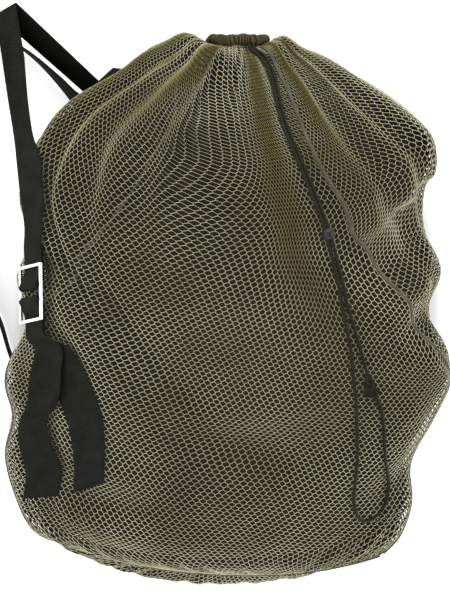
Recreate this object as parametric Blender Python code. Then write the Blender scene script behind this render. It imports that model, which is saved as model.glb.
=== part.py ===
"""Mesh decoy bag: a drawstring sack of net with webbing shoulder straps, lying on its back.

The sack lies on the floor, z = 0. Its mouth is toward +Y, its front faces up and +X is its right
side as it is seen from above. The origin is on the floor under the sack. Tables and functions are
in millimetres, and mesh coordinates in metres.
"""
import math

import bpy
import numpy as np
from mathutils import Matrix, Vector
from mathutils.bvhtree import BVHTree

MM = 0.001

# Driving dimensions
GAP = 0.3               # between two pieces that touch
SEAM_GAP = 0.8          # between a seam's binding and the net beside it, where the skin bends
PANEL_THICKNESS = 2.0   # knotted net, at its knots
SEAM_WIDTH = 5.0
SEAM_HEIGHT = 4.0
HEM_RADIUS = 33.0       # from the middle of the mouth to the middle of the gathered channel
HEM_TUBE = 7.2
HEM_CENTRE = (16.0, 336.0, 120.0)
CORD_DIAMETER = 4.3
LOCK_RADIUS = 8.5
WEBBING_WIDTH = 50.0
WEBBING_THICKNESS = 1.8
BUCKLE_WIDTH = 62.0
BUCKLE_LENGTH = 74.0
BUCKLE_BAR = 4.0
PLEATS = 14             # gathers round the sack, which fan out from the mouth

# Facets: rows from the mouth to the bottom, and columns across each panel
PANEL_ROWS = 25
PANEL_COLUMNS = 26
HEM_STEPS = 3 * PLEATS
HEM_SIDES = 8
CREASE_RADIUS = 2.5     # of the webbing's middle line at a fold
CREASE_STEPS = 6
SEWN_DROP = 2.9         # from the skin down to the middle of webbing sewn under it
SIDE_SEAM_START = 0.2   # how far into the first and last rows the side seams begin and end
SIDE_SEAM_END = 0.86

# Rings round the sack from the hem to the bottom seam. left and right are its sides as seen from
# above, front_y and back_y the place of its middle on each panel, under and top its height,
# seam the angle of the right seam up from the right side in degrees, pleat the gathers' depth.
RING_COLUMNS = ("left_x", "left_y", "right_x", "right_y", "front_y", "back_y",
                "under", "top", "seam", "pleat")
RINGS = (
    (-17, 328, 49, 328, 328, 328, 87, 153, 42, 1.2),
    (-87, 331, 104, 323, 266, 272, 60, 192, 51, 5.0),
    (-132, 297, 163, 297, 208, 221, 36, 237, 60, 6.0),
    (-198, 258, 226, 258, 143, 162, 19, 277, 62, 6.5),
    (-239, 212, 268, 213, 88, 110, 6, 301, 60, 5.5),
    (-264, 161, 272, 165, 42, 60, -5, 315, 56, 4.5),
    (-267, 125, 261, 148, 0, 14, -12, 322, 49, 3.5),
    (-252, 78, 258, 101, -46, -36, -15, 326, 43, 3.0),
    (-270, 29, 277, 42, -91, -84, -16, 326, 35, 2.5),
    (-256, -29, 262, -14, -137, -130, -16, 324, 24, 2.0),
    (-278, -79, 286, -68, -179, -176, -15, 319, 12, 2.0),
    (-286, -107, 292, -105, -212, -213, -12, 310, 2, 2.0),
    (-278, -145, 274, -148, -247, -250, -8, 298, 0, 2.0),
    (-286, -198, 241, -210, -288, -298, -2, 268, 0, 2.0),
    (-271, -254, 242, -262, -319, -340, 6, 228, 0, 2.0),
    (-247, -300, 228, -304, -344, -371, 34, 170, 0, 1.0),
    (-193, -320, 203, -332, -357, -357, 97.2, 102.8, 0, 0.0),
)


def colour_material(name, colour, roughness, metallic=0.0):
    material = bpy.data.materials.new(name)
    material.use_nodes = True
    shader = material.node_tree.nodes["Principled BSDF"]
    shader.inputs["Base Color"].default_value = (*colour, 1.0)
    shader.inputs["Roughness"].default_value = roughness
    shader.inputs["Metallic"].default_value = metallic
    return material


def add_object(name, vertices_mm, faces, material, smooth=True):
    """Makes one object from points in millimetres, with its faces turned outward."""
    mesh = bpy.data.meshes.new(name)
    mesh.from_pydata([tuple(c * MM for c in v) for v in vertices_mm], [], faces)
    mesh.validate()
    mesh.materials.append(material)
    if smooth:
        mesh.shade_smooth()
        mesh.set_sharp_from_angle(angle=math.radians(50))
    thing = bpy.data.objects.new(name, mesh)
    bpy.context.collection.objects.link(thing)
    return thing


def cubic(knots, values, at):
    """A smooth curve through the values, read at any places along the knots."""
    knots = np.asarray(knots, float)
    values = np.asarray(values, float)
    slopes = np.gradient(values, knots, axis=0)
    place = np.clip(np.searchsorted(knots, at, side="right") - 1, 0, len(knots) - 2)
    step = knots[place + 1] - knots[place]
    s = (at - knots[place]) / step
    shape = (-1,) + (1,) * (values.ndim - 1)
    s = s.reshape(shape)
    step = step.reshape(shape)
    h00 = 2 * s**3 - 3 * s**2 + 1
    h10 = s**3 - 2 * s**2 + s
    h01 = -2 * s**3 + 3 * s**2
    h11 = s**3 - s**2
    return (h00 * values[place] + h10 * step * slopes[place]
            + h01 * values[place + 1] + h11 * step * slopes[place + 1])


def ring_knots():
    """Where each ring lies between the hem (0) and the bottom seam (1), by its mean distance."""
    table = np.array(RINGS, float)
    sides = [table[:, 0:2], table[:, 2:4],
             table[:, [4, 7]], table[:, [5, 6]]]
    lengths = np.mean([np.linalg.norm(np.diff(side, axis=0), axis=1) for side in sides], axis=0)
    along = np.concatenate([[0.0], np.cumsum(lengths)])
    return along / along[-1]


KNOTS = ring_knots()
BOTTOM_SEAM_Z = (RINGS[-1][RING_COLUMNS.index("under")] + RINGS[-1][RING_COLUMNS.index("top")]) / 2
ROUNDNESS = 2.3         # 2 would be an ellipse, more is squarer
RING_SAMPLES = 720
PLEAT_DRIFT = 0.35      # how far the gathers stray sideways, in turns of one gather
PLEAT_TWIST = 2.5       # radians that a gather turns from the hem to the bottom
PLEAT_RISE = 0.3        # share of the gathers' height that runs along the sack
SWELL = 3.0             # height of the slow swells


def skin(t, u):
    """Points on the sack's outside: t from hem to bottom, u once round it from the right seam."""
    t = np.atleast_1d(np.asarray(t, float))
    u = np.atleast_1d(np.asarray(u, float))
    rows = {name: value for name, value in zip(RING_COLUMNS, cubic(KNOTS, RINGS, t).T)}
    angle = np.radians(rows["seam"][:, None]) + np.linspace(0, 2 * math.pi, RING_SAMPLES + 1)
    across = np.sign(np.cos(angle)) * np.abs(np.cos(angle)) ** (2 / ROUNDNESS)
    up = np.sign(np.sin(angle)) * np.abs(np.sin(angle)) ** (2 / ROUNDNESS)

    def column(name):
        return rows[name][:, None]

    x = (column("left_x") + column("right_x")) / 2 + (column("right_x") - column("left_x")) / 2 * across
    side_y = (column("left_y") * (1 - across) + column("right_y") * (1 + across)) / 2
    middle_y = np.where(up > 0, column("front_y"), column("back_y"))
    y = side_y + (middle_y - (column("left_y") + column("right_y")) / 2) * np.sin(angle) ** 2
    side_z = (HEM_CENTRE[2] + (BOTTOM_SEAM_Z - HEM_CENTRE[2]) * t)[:, None]
    z = side_z + np.where(up > 0, column("top") - side_z, side_z - column("under")) * up

    # Even steps round the ring, by its length
    steps = np.sqrt(np.diff(x) ** 2 + np.diff(y) ** 2 + np.diff(z) ** 2)
    points = np.empty((len(t), len(u), 3))
    turn = np.mod(u, 1.0)
    for i in range(len(t)):
        along = np.concatenate([[0.0], np.cumsum(steps[i])])
        wanted = turn * along[-1]
        for axis, values in enumerate((x, y, z)):
            points[i, :, axis] = np.interp(wanted, along, values[i])

    # Gathers stand out from the middle of the ring, and slow swells run over the whole sack
    middle = np.stack([(rows["left_x"] + rows["right_x"]) / 2,
                       (rows["left_y"] + rows["right_y"]) / 2,
                       (rows["under"] + rows["top"]) / 2], axis=1)[:, None, :]
    outward = points - middle
    outward[..., 1] *= PLEAT_RISE
    size = np.linalg.norm(outward, axis=2, keepdims=True)
    outward = outward / np.maximum(size, 1e-6)
    phase = 2 * math.pi * (PLEATS * turn + PLEAT_DRIFT * np.sin(2 * math.pi * 3 * turn + 1.0))
    wave = np.cos(phase[None, :] + PLEAT_TWIST * t[:, None])
    swell = np.sin(2 * math.pi * (2 * turn[None, :] + 2.2 * t[:, None])) * np.sin(math.pi * t[:, None]) ** 2
    height = rows["pleat"][:, None] * wave + SWELL * swell
    seam_keep = np.minimum(1.0, 12.0 * np.abs(np.mod(turn * 2 + 0.5, 1.0) - 0.5) + 0.25)
    points += outward * (height * seam_keep[None, :])[..., None]
    points[..., 2] = np.maximum(points[..., 2], 0.0)
    return points


def skin_frame(t, u):
    """Points, outward normals and directions round and along the skin, at pairs of t and u."""
    step = 1e-3
    point = skin(t, u)
    low_t = np.clip(np.asarray(t) - step, 0, 1)
    high_t = np.clip(np.asarray(t) + step, 0, 1)
    along = skin(high_t, u) - skin(low_t, u)
    around = skin(t, np.asarray(u) + step) - skin(t, np.asarray(u) - step)
    normal = np.cross(around, along)
    normal /= np.linalg.norm(normal, axis=2, keepdims=True)
    around = around / np.linalg.norm(around, axis=2, keepdims=True)
    along = along / np.linalg.norm(along, axis=2, keepdims=True)
    return point, normal, around, along


def girth(t):
    ring = skin([t], np.linspace(0, 1, 181)[:-1])[0]
    return float(np.linalg.norm(ring - np.roll(ring, 1, axis=0), axis=1).sum())


def shell(name, outer, inner, material):
    """One closed wall between an outer and an inner grid of points."""
    rows, columns, _ = outer.shape
    vertices = np.concatenate([outer.reshape(-1, 3), inner.reshape(-1, 3)])
    count = rows * columns

    def at(i, j, side):
        return side * count + i * columns + j

    faces = []
    for i in range(rows - 1):
        for j in range(columns - 1):
            quad = (at(i, j, 0), at(i, j + 1, 0), at(i + 1, j + 1, 0), at(i + 1, j, 0))
            faces.append(quad)
            faces.append(tuple(v + count for v in reversed(quad)))
    rim = [(i, 0) for i in range(rows)] + [(rows - 1, j) for j in range(1, columns)]
    rim += [(i, columns - 1) for i in range(rows - 2, -1, -1)] + [(0, j) for j in range(columns - 2, 0, -1)]
    for (i, j), (k, l) in zip(rim, rim[1:] + rim[:1]):
        faces.append((at(i, j, 0), at(k, l, 0), at(k, l, 1), at(i, j, 1)))
    return add_object(name, vertices, faces, material)


def panel(name, first_u, last_u, material):
    """Half of the sack between its two side seams, clear of their binding."""
    rows = np.linspace(0, 1, PANEL_ROWS + 1)
    outer = np.empty((PANEL_ROWS + 1, PANEL_COLUMNS + 1, 3))
    inner = np.empty_like(outer)
    for i, t in enumerate(rows):
        inset = (SEAM_WIDTH / 2 + SEAM_GAP) / girth(t)
        columns = np.linspace(first_u + inset, last_u - inset, PANEL_COLUMNS + 1)
        point, normal, _, _ = skin_frame([t], columns)
        outer[i] = point[0]
        inner[i] = point[0] - normal[0] * PANEL_THICKNESS
    inner[..., 2] = np.maximum(inner[..., 2], PANEL_THICKNESS)
    side = 1.0 if first_u < 0.5 else -1.0
    outer[-1, :, 2] = BOTTOM_SEAM_Z + side * (SEAM_WIDTH / 2 + GAP)
    inner[-1] = outer[-1] - flat_outward(outer[-1]) * side * PANEL_THICKNESS
    return shell(name, outer, inner, material)


def flat_outward(line):
    """Level directions square to a line of points, outward where it runs from right to left."""
    run = np.gradient(line, axis=0)
    outward = np.stack([-run[:, 1], run[:, 0], np.zeros(len(run))], axis=1)
    return outward / np.linalg.norm(outward, axis=1, keepdims=True)


def strip(name, centre, across, normal, width, height, material):
    """A closed bar of rectangular section along a line of points."""
    centre = np.asarray(centre, float)
    corners = ((-1, 1), (1, 1), (1, -1), (-1, -1))
    rings = [centre + across * width / 2 * a + normal * height / 2 * b for a, b in corners]
    vertices = np.stack(rings, axis=1).reshape(-1, 3)
    faces = [(3, 2, 1, 0)]
    for i in range(len(centre) - 1):
        for k in range(4):
            a = 4 * i + k
            b = 4 * i + (k + 1) % 4
            faces.append((a, b, b + 4, a + 4))
    last = 4 * (len(centre) - 1)
    faces.append((last, last + 1, last + 2, last + 3))
    return add_object(name, vertices, faces, material, smooth=False)


def side_seam(name, u, material):
    """Binding between the two panels, which ends just short of the bottom seam."""
    point, normal, around, _ = skin_frame(np.linspace(0, 1, PANEL_ROWS + 1), [u])
    sections = [values[:, 0] for values in (point, around, normal)]
    for values in sections:
        values[0] += (values[1] - values[0]) * SIDE_SEAM_START
        values[-1] = values[-2] + (values[-1] - values[-2]) * SIDE_SEAM_END
    centre, across, outward = sections
    centre[:, 2] = np.maximum(centre[:, 2], SEAM_HEIGHT / 2)
    return strip(name, centre, across, outward, SEAM_WIDTH, SEAM_HEIGHT, material)


def bottom_seam(material):
    """Binding along the flat end, where the two panels meet."""
    inset = 0.6 * SEAM_WIDTH / girth(1.0)
    columns = np.linspace(inset, 0.5 - inset, PANEL_COLUMNS + 1)
    point, _, _, _ = skin_frame([1.0], columns)
    low = skin([1.0], 1 - columns)
    centre = (point[0] + low[0]) / 2
    centre[:, 2] = BOTTOM_SEAM_Z
    upward = np.tile([0.0, 0.0, 1.0], (len(centre), 1))
    return strip("bottom_seam", centre, upward, flat_outward(centre), SEAM_WIDTH, SEAM_HEIGHT, material)


def hem_section(angle):
    """The gathered channel's radius from the mouth's middle, and its own, at an angle round it."""
    lump = math.cos(PLEATS * angle)
    return HEM_RADIUS + 0.8 * lump, HEM_TUBE + 0.5 * lump


def top_hem(material):
    """A gathered ring with its axis along Y."""
    vertices = []
    for i in range(HEM_STEPS):
        angle = 2 * math.pi * i / HEM_STEPS
        radius, tube = hem_section(angle)
        for k in range(HEM_SIDES):
            turn = 2 * math.pi * k / HEM_SIDES
            r = radius + tube * math.cos(turn)
            vertices.append((HEM_CENTRE[0] + r * math.cos(angle),
                             HEM_CENTRE[1] + tube * math.sin(turn),
                             HEM_CENTRE[2] + r * math.sin(angle)))
    faces = []
    for i in range(HEM_STEPS):
        for k in range(HEM_SIDES):
            a = i * HEM_SIDES + k
            b = i * HEM_SIDES + (k + 1) % HEM_SIDES
            c = (i + 1) % HEM_STEPS * HEM_SIDES + (k + 1) % HEM_SIDES
            d = (i + 1) % HEM_STEPS * HEM_SIDES + k
            faces.append((a, b, c, d))
    return add_object("top_hem", vertices, faces, material)


class Skin:
    """The outer facets of both panels, which the straps and the cord lie on."""

    def __init__(self, panels):
        vertices = []
        faces = []
        for thing in panels:
            first = len(vertices)
            vertices += [v.co / MM for v in thing.data.vertices]
            faces += [tuple(first + k for k in f.vertices) for f in thing.data.polygons]
        self.tree = BVHTree.FromPolygons(vertices, faces)

    def above(self, x, y):
        """The highest point of the sack at x, y, and its normal."""
        point, normal, _, _ = self.tree.ray_cast(Vector((x, y, 600)), Vector((0, 0, -1)))
        return point, normal

    def below(self, x, y):
        """The lowest point of the sack at x, y, and its normal."""
        point, normal, _, _ = self.tree.ray_cast(Vector((x, y, -10)), Vector((0, 0, 1)))
        return point, normal

    def slope(self, x, y, reach):
        """The sack's upward normal at x, y, averaged over a patch."""
        total = Vector()
        for dx in (-reach, 0, reach):
            for dy in (-reach, 0, reach):
                point, normal = self.above(x + dx, y + dy)
                if point:
                    total += normal
        return total.normalized()


def smooth_line(points, spacing):
    """Even steps along a smooth curve through points, a row each."""
    points = np.asarray(points, float)
    along = np.concatenate([[0.0], np.cumsum(np.linalg.norm(np.diff(points, axis=0), axis=1))])
    fine = cubic(along, points, np.linspace(0, along[-1], 12 * len(points)))
    length = np.concatenate([[0.0], np.cumsum(np.linalg.norm(np.diff(fine, axis=0), axis=1))])
    wanted = np.linspace(0, length[-1], max(2, round(length[-1] / spacing) + 1))
    return np.stack([np.interp(wanted, length, fine[:, k]) for k in range(points.shape[1])], axis=1)


# Webbing: a station is the six numbers of its two edges, a then b

def smooth_band(stations, spacing):
    """Even steps along a band whose stations are pairs of edge points."""
    return smooth_line(np.asarray(stations, float).reshape(-1, 6), spacing).reshape(-1, 2, 3)


def crease(before, corner, after):
    """Stations round a fold of the webbing, whose edges turn at the corner station."""
    steps = np.linspace(0, 1, CREASE_STEPS + 1)
    edges = []
    for e in range(2):
        point = Vector(corner[e])
        inward = (Vector(before[e]) - point).normalized()
        outward = (Vector(after[e]) - point).normalized()
        half = inward.angle(outward) / 2
        bisector = (inward + outward).normalized()
        centre = point + bisector * (CREASE_RADIUS / math.sin(half))
        start = point + inward * (CREASE_RADIUS / math.tan(half)) - centre
        end = point + outward * (CREASE_RADIUS / math.tan(half)) - centre
        edges.append([centre + start.slerp(end, k) for k in steps])
    return [[tuple(a), tuple(b)] for a, b in zip(*edges)]


def band(name, stations, material):
    """A closed solid of webbing through stations, with a middle line along it."""
    line = np.asarray(stations, float)
    columns = np.stack([line[:, 0], line.mean(axis=1), line[:, 1]], axis=1)
    count = len(columns)
    run = np.gradient(columns[:, 1], axis=0)
    normal = np.cross(columns[:, 2] - columns[:, 0], run)
    normal /= np.linalg.norm(normal, axis=1, keepdims=True)
    half = normal[:, None, :] * WEBBING_THICKNESS / 2
    outer = columns + half
    inner = columns - half
    section = np.concatenate([outer, inner[:, ::-1]], axis=1)
    vertices = section.reshape(-1, 3)
    size = section.shape[1]
    faces = [(5, 4, 1, 0), (4, 3, 2, 1)]
    for i in range(count - 1):
        for k in range(size):
            a = size * i + k
            b = size * i + (k + 1) % size
            faces.append((a, b, b + size, a + size))
    last = size * (count - 1)
    faces += [(last, last + 1, last + 4, last + 5), (last + 1, last + 2, last + 3, last + 4)]
    return add_object(name, vertices, faces, material)


def skin_station(skin_now, x, y, lift, run, tilt=0.0):
    """A station with its middle above the sack at x, y, square to the run and flat to the skin."""
    point, _ = skin_now.above(x, y)
    normal = skin_now.slope(x, y, 12)
    across = Vector(run).cross(normal).normalized()
    normal = across.cross(Vector(run)).normalized()
    if normal.z < 0:
        normal = -normal
    middle = point + normal * lift
    turn = math.radians(tilt)
    across = across * math.cos(turn) + normal * math.sin(turn)
    return [tuple(middle + across * WEBBING_WIDTH / 2), tuple(middle - across * WEBBING_WIDTH / 2)]


# Shoulder strap A from its sewn end under the sack's left shoulder: folds at T, V and A
STRAP_A_UNDER = ((-91, 236, -131, 226), (-94, 252, -136, 246))
STRAP_A_RISE = ((-106, 276, 36, -141, 281, 14),)
FOLD_T = ((-121, 303, 44), (-146, 309, 1.5))
FOLD_V = ((-150, 270, 44), (-184, 270, 1.5))
FOLD_A = ((-275, 392, 98), (-303, 378, 56))
STRAP_A_RAMP = ((-261, 316, 99, -292, 320, 57), (-256, 262, 118, -283, 262, 78),
                (-249, 218, 150, -275, 218, 109))
# Where it lies on the flank: x, y and height above the skin
STRAP_A_FLANK = ((-246, 170, 7), (-243, 132, 5.5), (-237, 92, 9.4))

BUCKLE_PLACE = (-237, 8)
BUCKLE_LIFT = 13.0
BUCKLE_RUN = (-0.12, 0.99, -0.05)
INNER_BAR = 9.0         # from the middle of the buckle to each inner bar
LOOP_RADIUS = 4.4       # webbing round a bar, to its middle
LOOP_ANGLES = (60, 230)     # where that loop begins and ends, in degrees
LOOP_STEPS = 6
# Places y and z beside the buckle that the webbing passes: in from above, out below, and back
LEAD_IN = ((62, -3.5), (40, -LOOP_RADIUS))
LEAD_OUT = ((-52, -LOOP_RADIUS), (-38, -LOOP_RADIUS))
BAR_ENTRY = (28, -LOOP_RADIUS + 0.6)
RETURN_DEPTH = -LOOP_RADIUS - WEBBING_THICKNESS - 0.6
RETURN_ABOVE = (INNER_BAR + 9, 40, 58)
RETURN_BELOW = (-INNER_BAR - 9, -38, -52)
FLANK_RUN = (0.1, 0.97, -0.2)       # direction of strap A on the flank, of the tail and of the anchor
TAIL_RUN = (-0.05, 0.99, -0.1)
ANCHOR_RUN = (-0.25, 0.96, -0.1)
STRAP_A_STEP = 22
STRAP_B_STEP = 28
SLOPE_REACH = 22        # patch of the sack that the buckle lies level with

# Tail and anchor below the buckle: x, y, height above the skin, tilt in degrees from the skin
TAIL_A = ((-217, -62, 12, 0), (-221, -95, 13, -4), (-222, -130, 15, -8), (-231, -159, 18, -12),
          (-228, -188, 18, -18), (-221, -213, 16, -24), (-223, -253, 16, -30))
ANCHOR_A = ((-210, -66, 8.0, 0), (-193, -108, 4.5, 0), (-177, -150, 3.6, 0), (-171, -190, 3.2, 0),
            (-172, -239, 2.8, 0))

# Shoulder strap B: out from under the shoulder, round beyond the left and back under the flank
STRAP_B = (
    (-168, 262, 50, -192, 238, 20), (-188, 268, 50, -200, 256, 3),
    (-215, 292, 51, -222, 285, 1.5), (-262, 329, 51, -264, 327, 1.5), (-305, 352, 51, -303, 350, 1.5),
    (-338, 340, 51, -334, 337, 1.5), (-356, 290, 51, -351, 290, 1.5), (-358, 220, 51, -354, 221, 1.5),
    (-345, 120, 51, -342, 121, 1.5), (-322, 30, 51, -319, 31, 1.5), (-296, -30, 51, -293, -29, 1.5),
    (-281, -78, 50, -277, -77, 1.5), (-268, -112, 46, -254, -106, 2), (-258, -138, 42, -232, -118, 8),
)
STRAP_B_TOP = (-142, 243, -178, 207)        # its two sewn ends, under the sack
STRAP_B_FOOT = (-243, -165, -207, -135)

# Drawcord: both strands side by side from the hem to the lock. x, y, height above the skin
CORD_PAIR = ((46, 311, 4.2), (58, 291, 3.9), (66, 260, 3.6), (75, 222, 3.6), (94, 175, 3.6),
             (111, 132, 4.0), (119, 108, 6.0), (125.8, 91.4, 8.8), (128.7, 80.6, 9.0), (131.6, 69.8, 8.8))
CORD_SPREAD = 2.5       # from the middle of the pair to each strand
CORD_LONG = ((136, 43, 3.8), (143, 17, 3.4), (149, -17, 3.4), (155, -45, 3.4), (159, -71, 3.4),
             (161, -96, 3.6), (164, -123, 4.0), (165, -148, 4.5), (166, -179, 4.5), (166, -210, 3.8),
             (164, -234, 3.4), (163, -257, 3.4), (167, -273, 3.4), (177, -282, 3.4), (191, -277, 3.6),
             (203, -262, 3.6), (207, -242, 3.6), (205, -218, 3.8), (201, -190, 4.0), (199, -159, 4.0),
             (196, -139, 4.6), (190, -127, 6.0), (183.4, -120.2, 6.9))
CORD_SHORT = ((142, 44, 3.8), (149, 16, 3.4), (154, -6, 3.4), (162, -34, 3.4), (170, -62, 3.6),
              (174, -78, 4.2), (177.5, -95.4, 6.6))
KNOT_PLACE = (180, -108)
KNOT_LIFT = 7.0
KNOT_SIZE = (8.0, 12.0, 5.4)
KNOT_RUN = (-0.2, 1.0, 0.0)
CORD_SPACING = 3 * CORD_DIAMETER
HEM_EXIT = (0.25, -0.72, 0.65)
HEM_EXIT_ANGLE = 62.0


def lay(skin_now, route):
    """Route points raised from x, y and a height along the sack's normal."""
    points = []
    for x, y, lift in route:
        point, _ = skin_now.above(x, y)
        points.append(tuple(point + skin_now.slope(x, y, 8) * lift))
    return points


def hem_exit(side):
    """Where a strand leaves the gathered channel, and a point straight out of it."""
    angle = math.radians(HEM_EXIT_ANGLE - side * 4.5)
    radius, tube = hem_section(angle)
    start = Vector((HEM_CENTRE[0] + radius * math.cos(angle), HEM_CENTRE[1],
                    HEM_CENTRE[2] + radius * math.sin(angle)))
    way = Vector(HEM_EXIT).normalized()
    return [tuple(start + way * (tube + 0.7)), tuple(start + way * (tube + 7.0))]


def pair_strand(skin_now, side):
    """One of the two strands from the hem through the lock."""
    middle = np.array(lay(skin_now, CORD_PAIR))
    run = np.gradient(middle, axis=0)
    across = np.stack([-run[:, 1], run[:, 0], np.zeros(len(run))], axis=1)
    across /= np.linalg.norm(across, axis=1, keepdims=True)
    across[-3:] = across[-2]
    strand = middle + across * CORD_SPREAD * side
    beside = [(x, y, row[2]) for (x, y, _), row in zip(strand[:-3], CORD_PAIR)]
    return hem_exit(side) + lay(skin_now, beside) + [tuple(p) for p in strand[-3:]]


def cord(name, points, material):
    """A tube through even steps of a smooth curve, with filled ends."""
    curve = bpy.data.curves.new(name, "CURVE")
    curve.dimensions = "3D"
    curve.bevel_depth = CORD_DIAMETER / 2 * MM
    curve.bevel_resolution = 2
    curve.use_fill_caps = True
    line = smooth_line(points, CORD_SPACING)
    spline = curve.splines.new("POLY")
    spline.points.add(len(line) - 1)
    for place, point in zip(spline.points, line):
        place.co = (*(point * MM), 1.0)
    curve.materials.append(material)
    thing = bpy.data.objects.new(name, curve)
    bpy.context.collection.objects.link(thing)
    return thing


def cord_lock(skin_now, material):
    """A ball with one oval tunnel for both strands."""
    line = [Vector(p) for p in lay(skin_now, CORD_PAIR[-3:])]
    axis = (line[2] - line[0]).normalized()
    middle = line[1]
    bpy.ops.mesh.primitive_uv_sphere_add(segments=16, ring_count=10, radius=LOCK_RADIUS * MM)
    ball = bpy.context.object
    ball.name = "cord_lock"
    ball.data.materials.append(material)
    ball.data.shade_smooth()
    side = axis.cross(Vector((0, 0, 1))).normalized()
    up = side.cross(axis)
    tunnel = []
    for end in (-1, 1):
        for k in range(12):
            angle = 2 * math.pi * k / 12
            shift = CORD_SPREAD if math.cos(angle) > 0 else -CORD_SPREAD
            radius = CORD_DIAMETER / 2 + 0.7
            across = radius * math.cos(angle) + shift
            tunnel.append(tuple(axis * end * 2 * LOCK_RADIUS + side * across + up * radius * math.sin(angle)))
    faces = [tuple(range(12)), tuple(range(23, 11, -1))]
    faces += [((k + 1) % 12, k, 12 + k, 12 + (k + 1) % 12) for k in range(12)]
    cutter = add_object("lock_tunnel", tunnel, faces, material, smooth=False)
    cutter.hide_render = True
    cutter.display_type = "WIRE"
    for thing in (ball, cutter):
        thing.location = middle * MM
    cut = ball.modifiers.new("tunnel", "BOOLEAN")
    cut.object = cutter
    cut.operation = "DIFFERENCE"
    return ball


def cord_knot(skin_now, material):
    """A lumpy overhand knot with its two short frayed ends toward -Y."""
    point, _ = skin_now.above(*KNOT_PLACE)
    normal = skin_now.slope(*KNOT_PLACE, 8)
    middle = point + normal * KNOT_LIFT
    bpy.ops.mesh.primitive_uv_sphere_add(segments=12, ring_count=8, radius=1.0)
    knot = bpy.context.object
    knot.name = "cord_knot"
    for v in knot.data.vertices:
        x, y, z = v.co
        groove = 1 - 0.13 * math.cos(3 * math.atan2(z, x) + 4 * y)
        fan = 1 + 0.5 * max(0.0, -y) ** 3
        size = Vector(KNOT_SIZE)
        v.co = Vector((x * groove * size.x * fan, y * size.y, z * groove * size.z)) * MM
    knot.data.materials.append(material)
    knot.data.shade_smooth()
    along = Vector(KNOT_RUN)
    along = (along - normal * along.dot(normal)).normalized()
    knot.rotation_mode = "QUATERNION"
    knot.rotation_quaternion = Matrix((along.cross(normal), along, normal)).transposed().to_quaternion()
    knot.location = middle * MM
    return knot


class BuckleFrame:
    """The buckle's own axes: x across the strap, y up it and z away from the sack."""

    def __init__(self, skin_now):
        point, _ = skin_now.above(*BUCKLE_PLACE)
        self.z = skin_now.slope(*BUCKLE_PLACE, SLOPE_REACH)
        self.y = Vector(BUCKLE_RUN)
        self.y = (self.y - self.z * self.y.dot(self.z)).normalized()
        self.x = self.y.cross(self.z)
        self.origin = point + self.z * BUCKLE_LIFT

    def at(self, x, y, z):
        return self.origin + self.x * x + self.y * y + self.z * z

    def station(self, y, z):
        half = WEBBING_WIDTH / 2
        return [tuple(self.at(half, y, z)), tuple(self.at(-half, y, z))]

    def loop(self, bar_y, direction):
        """Stations round a bar; 90 degrees is its front."""
        made = []
        for angle in np.radians(np.linspace(*LOOP_ANGLES, LOOP_STEPS + 1)):
            made.append(self.station(bar_y + direction * LOOP_RADIUS * math.cos(angle),
                                     LOOP_RADIUS * math.sin(angle)))
        return made


def buckle(frame, material):
    """A flat frame with two inner bars, in one piece."""
    half_w = BUCKLE_WIDTH / 2
    half_l = BUCKLE_LENGTH / 2
    bar = BUCKLE_BAR
    rail = bar / 2
    levels = [-half_l, -half_l + bar, -INNER_BAR - rail, -INNER_BAR + rail,
              INNER_BAR - rail, INNER_BAR + rail, half_l - bar, half_l]
    across = [-half_w, -half_w + bar, half_w - bar, half_w]
    vertices = [tuple(frame.at(x, y, z)) for z in (-rail, rail) for y in levels for x in across]
    layer = len(levels) * len(across)

    def at(i, j, k):
        return k * layer + i * len(across) + j

    def solid(i, j):
        return 0 <= i < len(levels) - 1 and 0 <= j < len(across) - 1 and (j != 1 or i % 2 == 0)

    faces = []
    for i in range(len(levels) - 1):
        for j in range(len(across) - 1):
            if not solid(i, j):
                continue
            faces.append((at(i, j, 1), at(i, j + 1, 1), at(i + 1, j + 1, 1), at(i + 1, j, 1)))
            faces.append((at(i + 1, j, 0), at(i + 1, j + 1, 0), at(i, j + 1, 0), at(i, j, 0)))
            if not solid(i - 1, j):
                faces.append((at(i, j, 0), at(i, j + 1, 0), at(i, j + 1, 1), at(i, j, 1)))
            if not solid(i + 1, j):
                faces.append((at(i + 1, j + 1, 0), at(i + 1, j, 0), at(i + 1, j, 1), at(i + 1, j + 1, 1)))
            if not solid(i, j - 1):
                faces.append((at(i + 1, j, 0), at(i, j, 0), at(i, j, 1), at(i + 1, j, 1)))
            if not solid(i, j + 1):
                faces.append((at(i, j + 1, 0), at(i + 1, j + 1, 0), at(i + 1, j + 1, 1), at(i, j + 1, 1)))
    return add_object("buckle_a", vertices, faces, material, smooth=False)


def sewn_under(skin_now, edges):
    """A station against the sack's underside, from the x, y of its two edges."""
    station = []
    for x, y in (edges[:2], edges[2:]):
        point, normal = skin_now.below(x, y)
        station.extend(point + normal * SEWN_DROP)
    return station


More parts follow.
